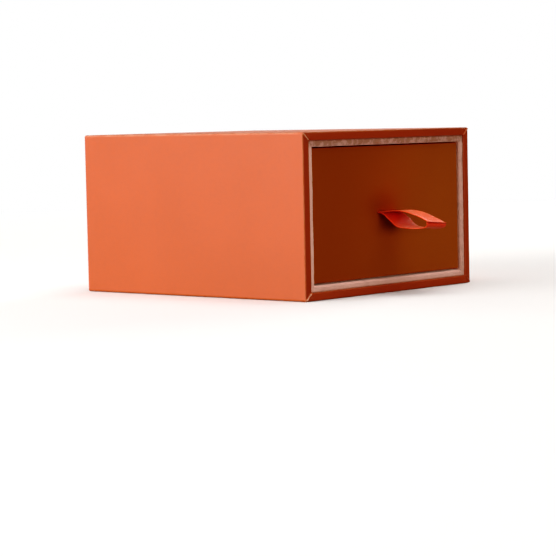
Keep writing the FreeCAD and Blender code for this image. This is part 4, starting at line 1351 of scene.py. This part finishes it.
# away from the object the floor runs into the pale background
glow = ft.nodes.new("ShaderNodeEmission")
where = ft.nodes.new("ShaderNodeTexCoord")
far = ft.nodes.new("ShaderNodeVectorMath")
far.operation = "LENGTH"
ft.links.new(where.outputs["Object"], far.inputs[0])
fade = ft.nodes.new("ShaderNodeMapRange")
fade.interpolation_type = "SMOOTHSTEP"
fade.inputs["From Min"].default_value, fade.inputs["From Max"].default_value = 0.16, 0.62
ft.links.new(far.outputs["Value"], fade.inputs["Value"])
eye_ray = ft.nodes.new("ShaderNodeLightPath")
both = ft.nodes.new("ShaderNodeMixShader")
ft.links.new(fade.outputs[0], both.inputs[0])
ft.links.new(pb.outputs[0], both.inputs[1])
ft.links.new(glow.outputs[0], both.inputs[2])
# the object gets less light back from it than a bright white floor would give
dim = ft.nodes.new("ShaderNodeBsdfDiffuse")
dim.inputs["Color"].default_value = (0.20, 0.19, 0.18, 1)
ends = ft.nodes.new("ShaderNodeMixShader")
ft.links.new(eye_ray.outputs["Is Camera Ray"], ends.inputs[0])
ft.links.new(dim.outputs[0], ends.inputs[1])
ft.links.new(both.outputs[0], ends.inputs[2])
ft.links.new(ends.outputs[0], ft.nodes["Material Output"].inputs["Surface"])
floor_mesh.materials.append(pale)


def softbox(name, place, at, size, power, colour=(1, 1, 1)):
    data = bpy.data.lights.new(name, "AREA")
    data.shape = "RECTANGLE"
    data.size, data.size_y = size
    data.energy = power
    data.color = colour
    obj = bpy.data.objects.new(name, data)
    bpy.context.scene.collection.objects.link(obj)
    place, at = Vector(place), Vector(at)
    obj.location = place
    obj.rotation_mode = "QUATERNION"
    obj.rotation_quaternion = (at - place).to_track_quat("-Z", "Y")
    return obj


softbox("key", (-0.80, 0.18, 0.20), (0, 0, 0.02), (0.54, 0.36), 8.25, (1.0, 0.98, 0.97))
softbox("rear_key", (-0.62, 0.52, 0.22), (0, 0, 0.02), (0.40, 0.36), 1.7, (1.0, 0.98, 0.97))
softbox("overhead", (0.0, -0.06, 0.95), (0, 0, 0.02), (0.95, 0.85), 4.4, (1.0, 0.99, 0.98))
softbox("over_front", (0.0, -0.22, 0.90), (0, -0.05, 0.02), (0.80, 0.40), 2.0, (1.0, 0.99, 0.98))
softbox("front_low", (-0.12, -0.60, 0.07), (0, -0.04, 0.024), (0.70, 0.13), 1.38, (1.0, 0.86, 0.74))
softbox("right_fill", (0.85, 0.08, 0.24), (0, 0, 0.02), (0.30, 0.30), 4.5, (1.0, 0.98, 0.96))
softbox("back_fill", (-0.05, 0.95, 0.35), (0, 0, 0.02), (0.50, 0.40), 3.2, (1.0, 0.98, 0.96))
softbox("rim", (0.62, 0.54, 0.20), (0, 0, 0.048), (0.60, 0.20), 0.9, (1.0, 0.90, 0.76))

SKY = (0.008, 0.023)  # the horizon's and the zenith's light on the object
world = bpy.data.worlds.new("pale_world")
bpy.context.scene.world = world
world.use_nodes = True
wt = world.node_tree
wt.nodes.clear()
w_out = wt.nodes.new("ShaderNodeOutputWorld")
seen = wt.nodes.new("ShaderNodeBackground")
seen.inputs["Color"].default_value = (1.0, 1.0, 1.0, 1)
seen.inputs["Strength"].default_value = 1.0
lit = wt.nodes.new("ShaderNodeBackground")
lit.inputs["Color"].default_value = (1.0, 0.985, 0.965, 1)
paths = wt.nodes.new("ShaderNodeLightPath")
both = wt.nodes.new("ShaderNodeMixShader")
aim = wt.nodes.new("ShaderNodeTexCoord")
split = wt.nodes.new("ShaderNodeSeparateXYZ")
wt.links.new(aim.outputs["Generated"], split.inputs[0])
climb = wt.nodes.new("ShaderNodeMapRange")
climb.interpolation_type = "SMOOTHSTEP"
for k, v in zip(("From Min", "From Max", "To Min", "To Max"), (0.15, 0.85, *SKY)):
    climb.inputs[k].default_value = v
wt.links.new(split.outputs[2], climb.inputs["Value"])
wt.links.new(climb.outputs[0], lit.inputs["Strength"])
wt.links.new(paths.outputs["Is Camera Ray"], both.inputs[0])
wt.links.new(lit.outputs[0], both.inputs[1])
wt.links.new(seen.outputs[0], both.inputs[2])
wt.links.new(both.outputs[0], w_out.inputs["Surface"])

# the photo's darkest colours are pressed down
view = bpy.context.scene.view_settings
view.view_transform = "Standard"
view.use_curve_mapping = True
tone_curve = view.curve_mapping
toe = tone_curve.curves[3]
for x, y in ((0.02, 0.004), (0.05, 0.022), (0.10, 0.078), (0.20, 0.193), (0.45, 0.452)):
    toe.points.new(x, y)
tone_curve.update()
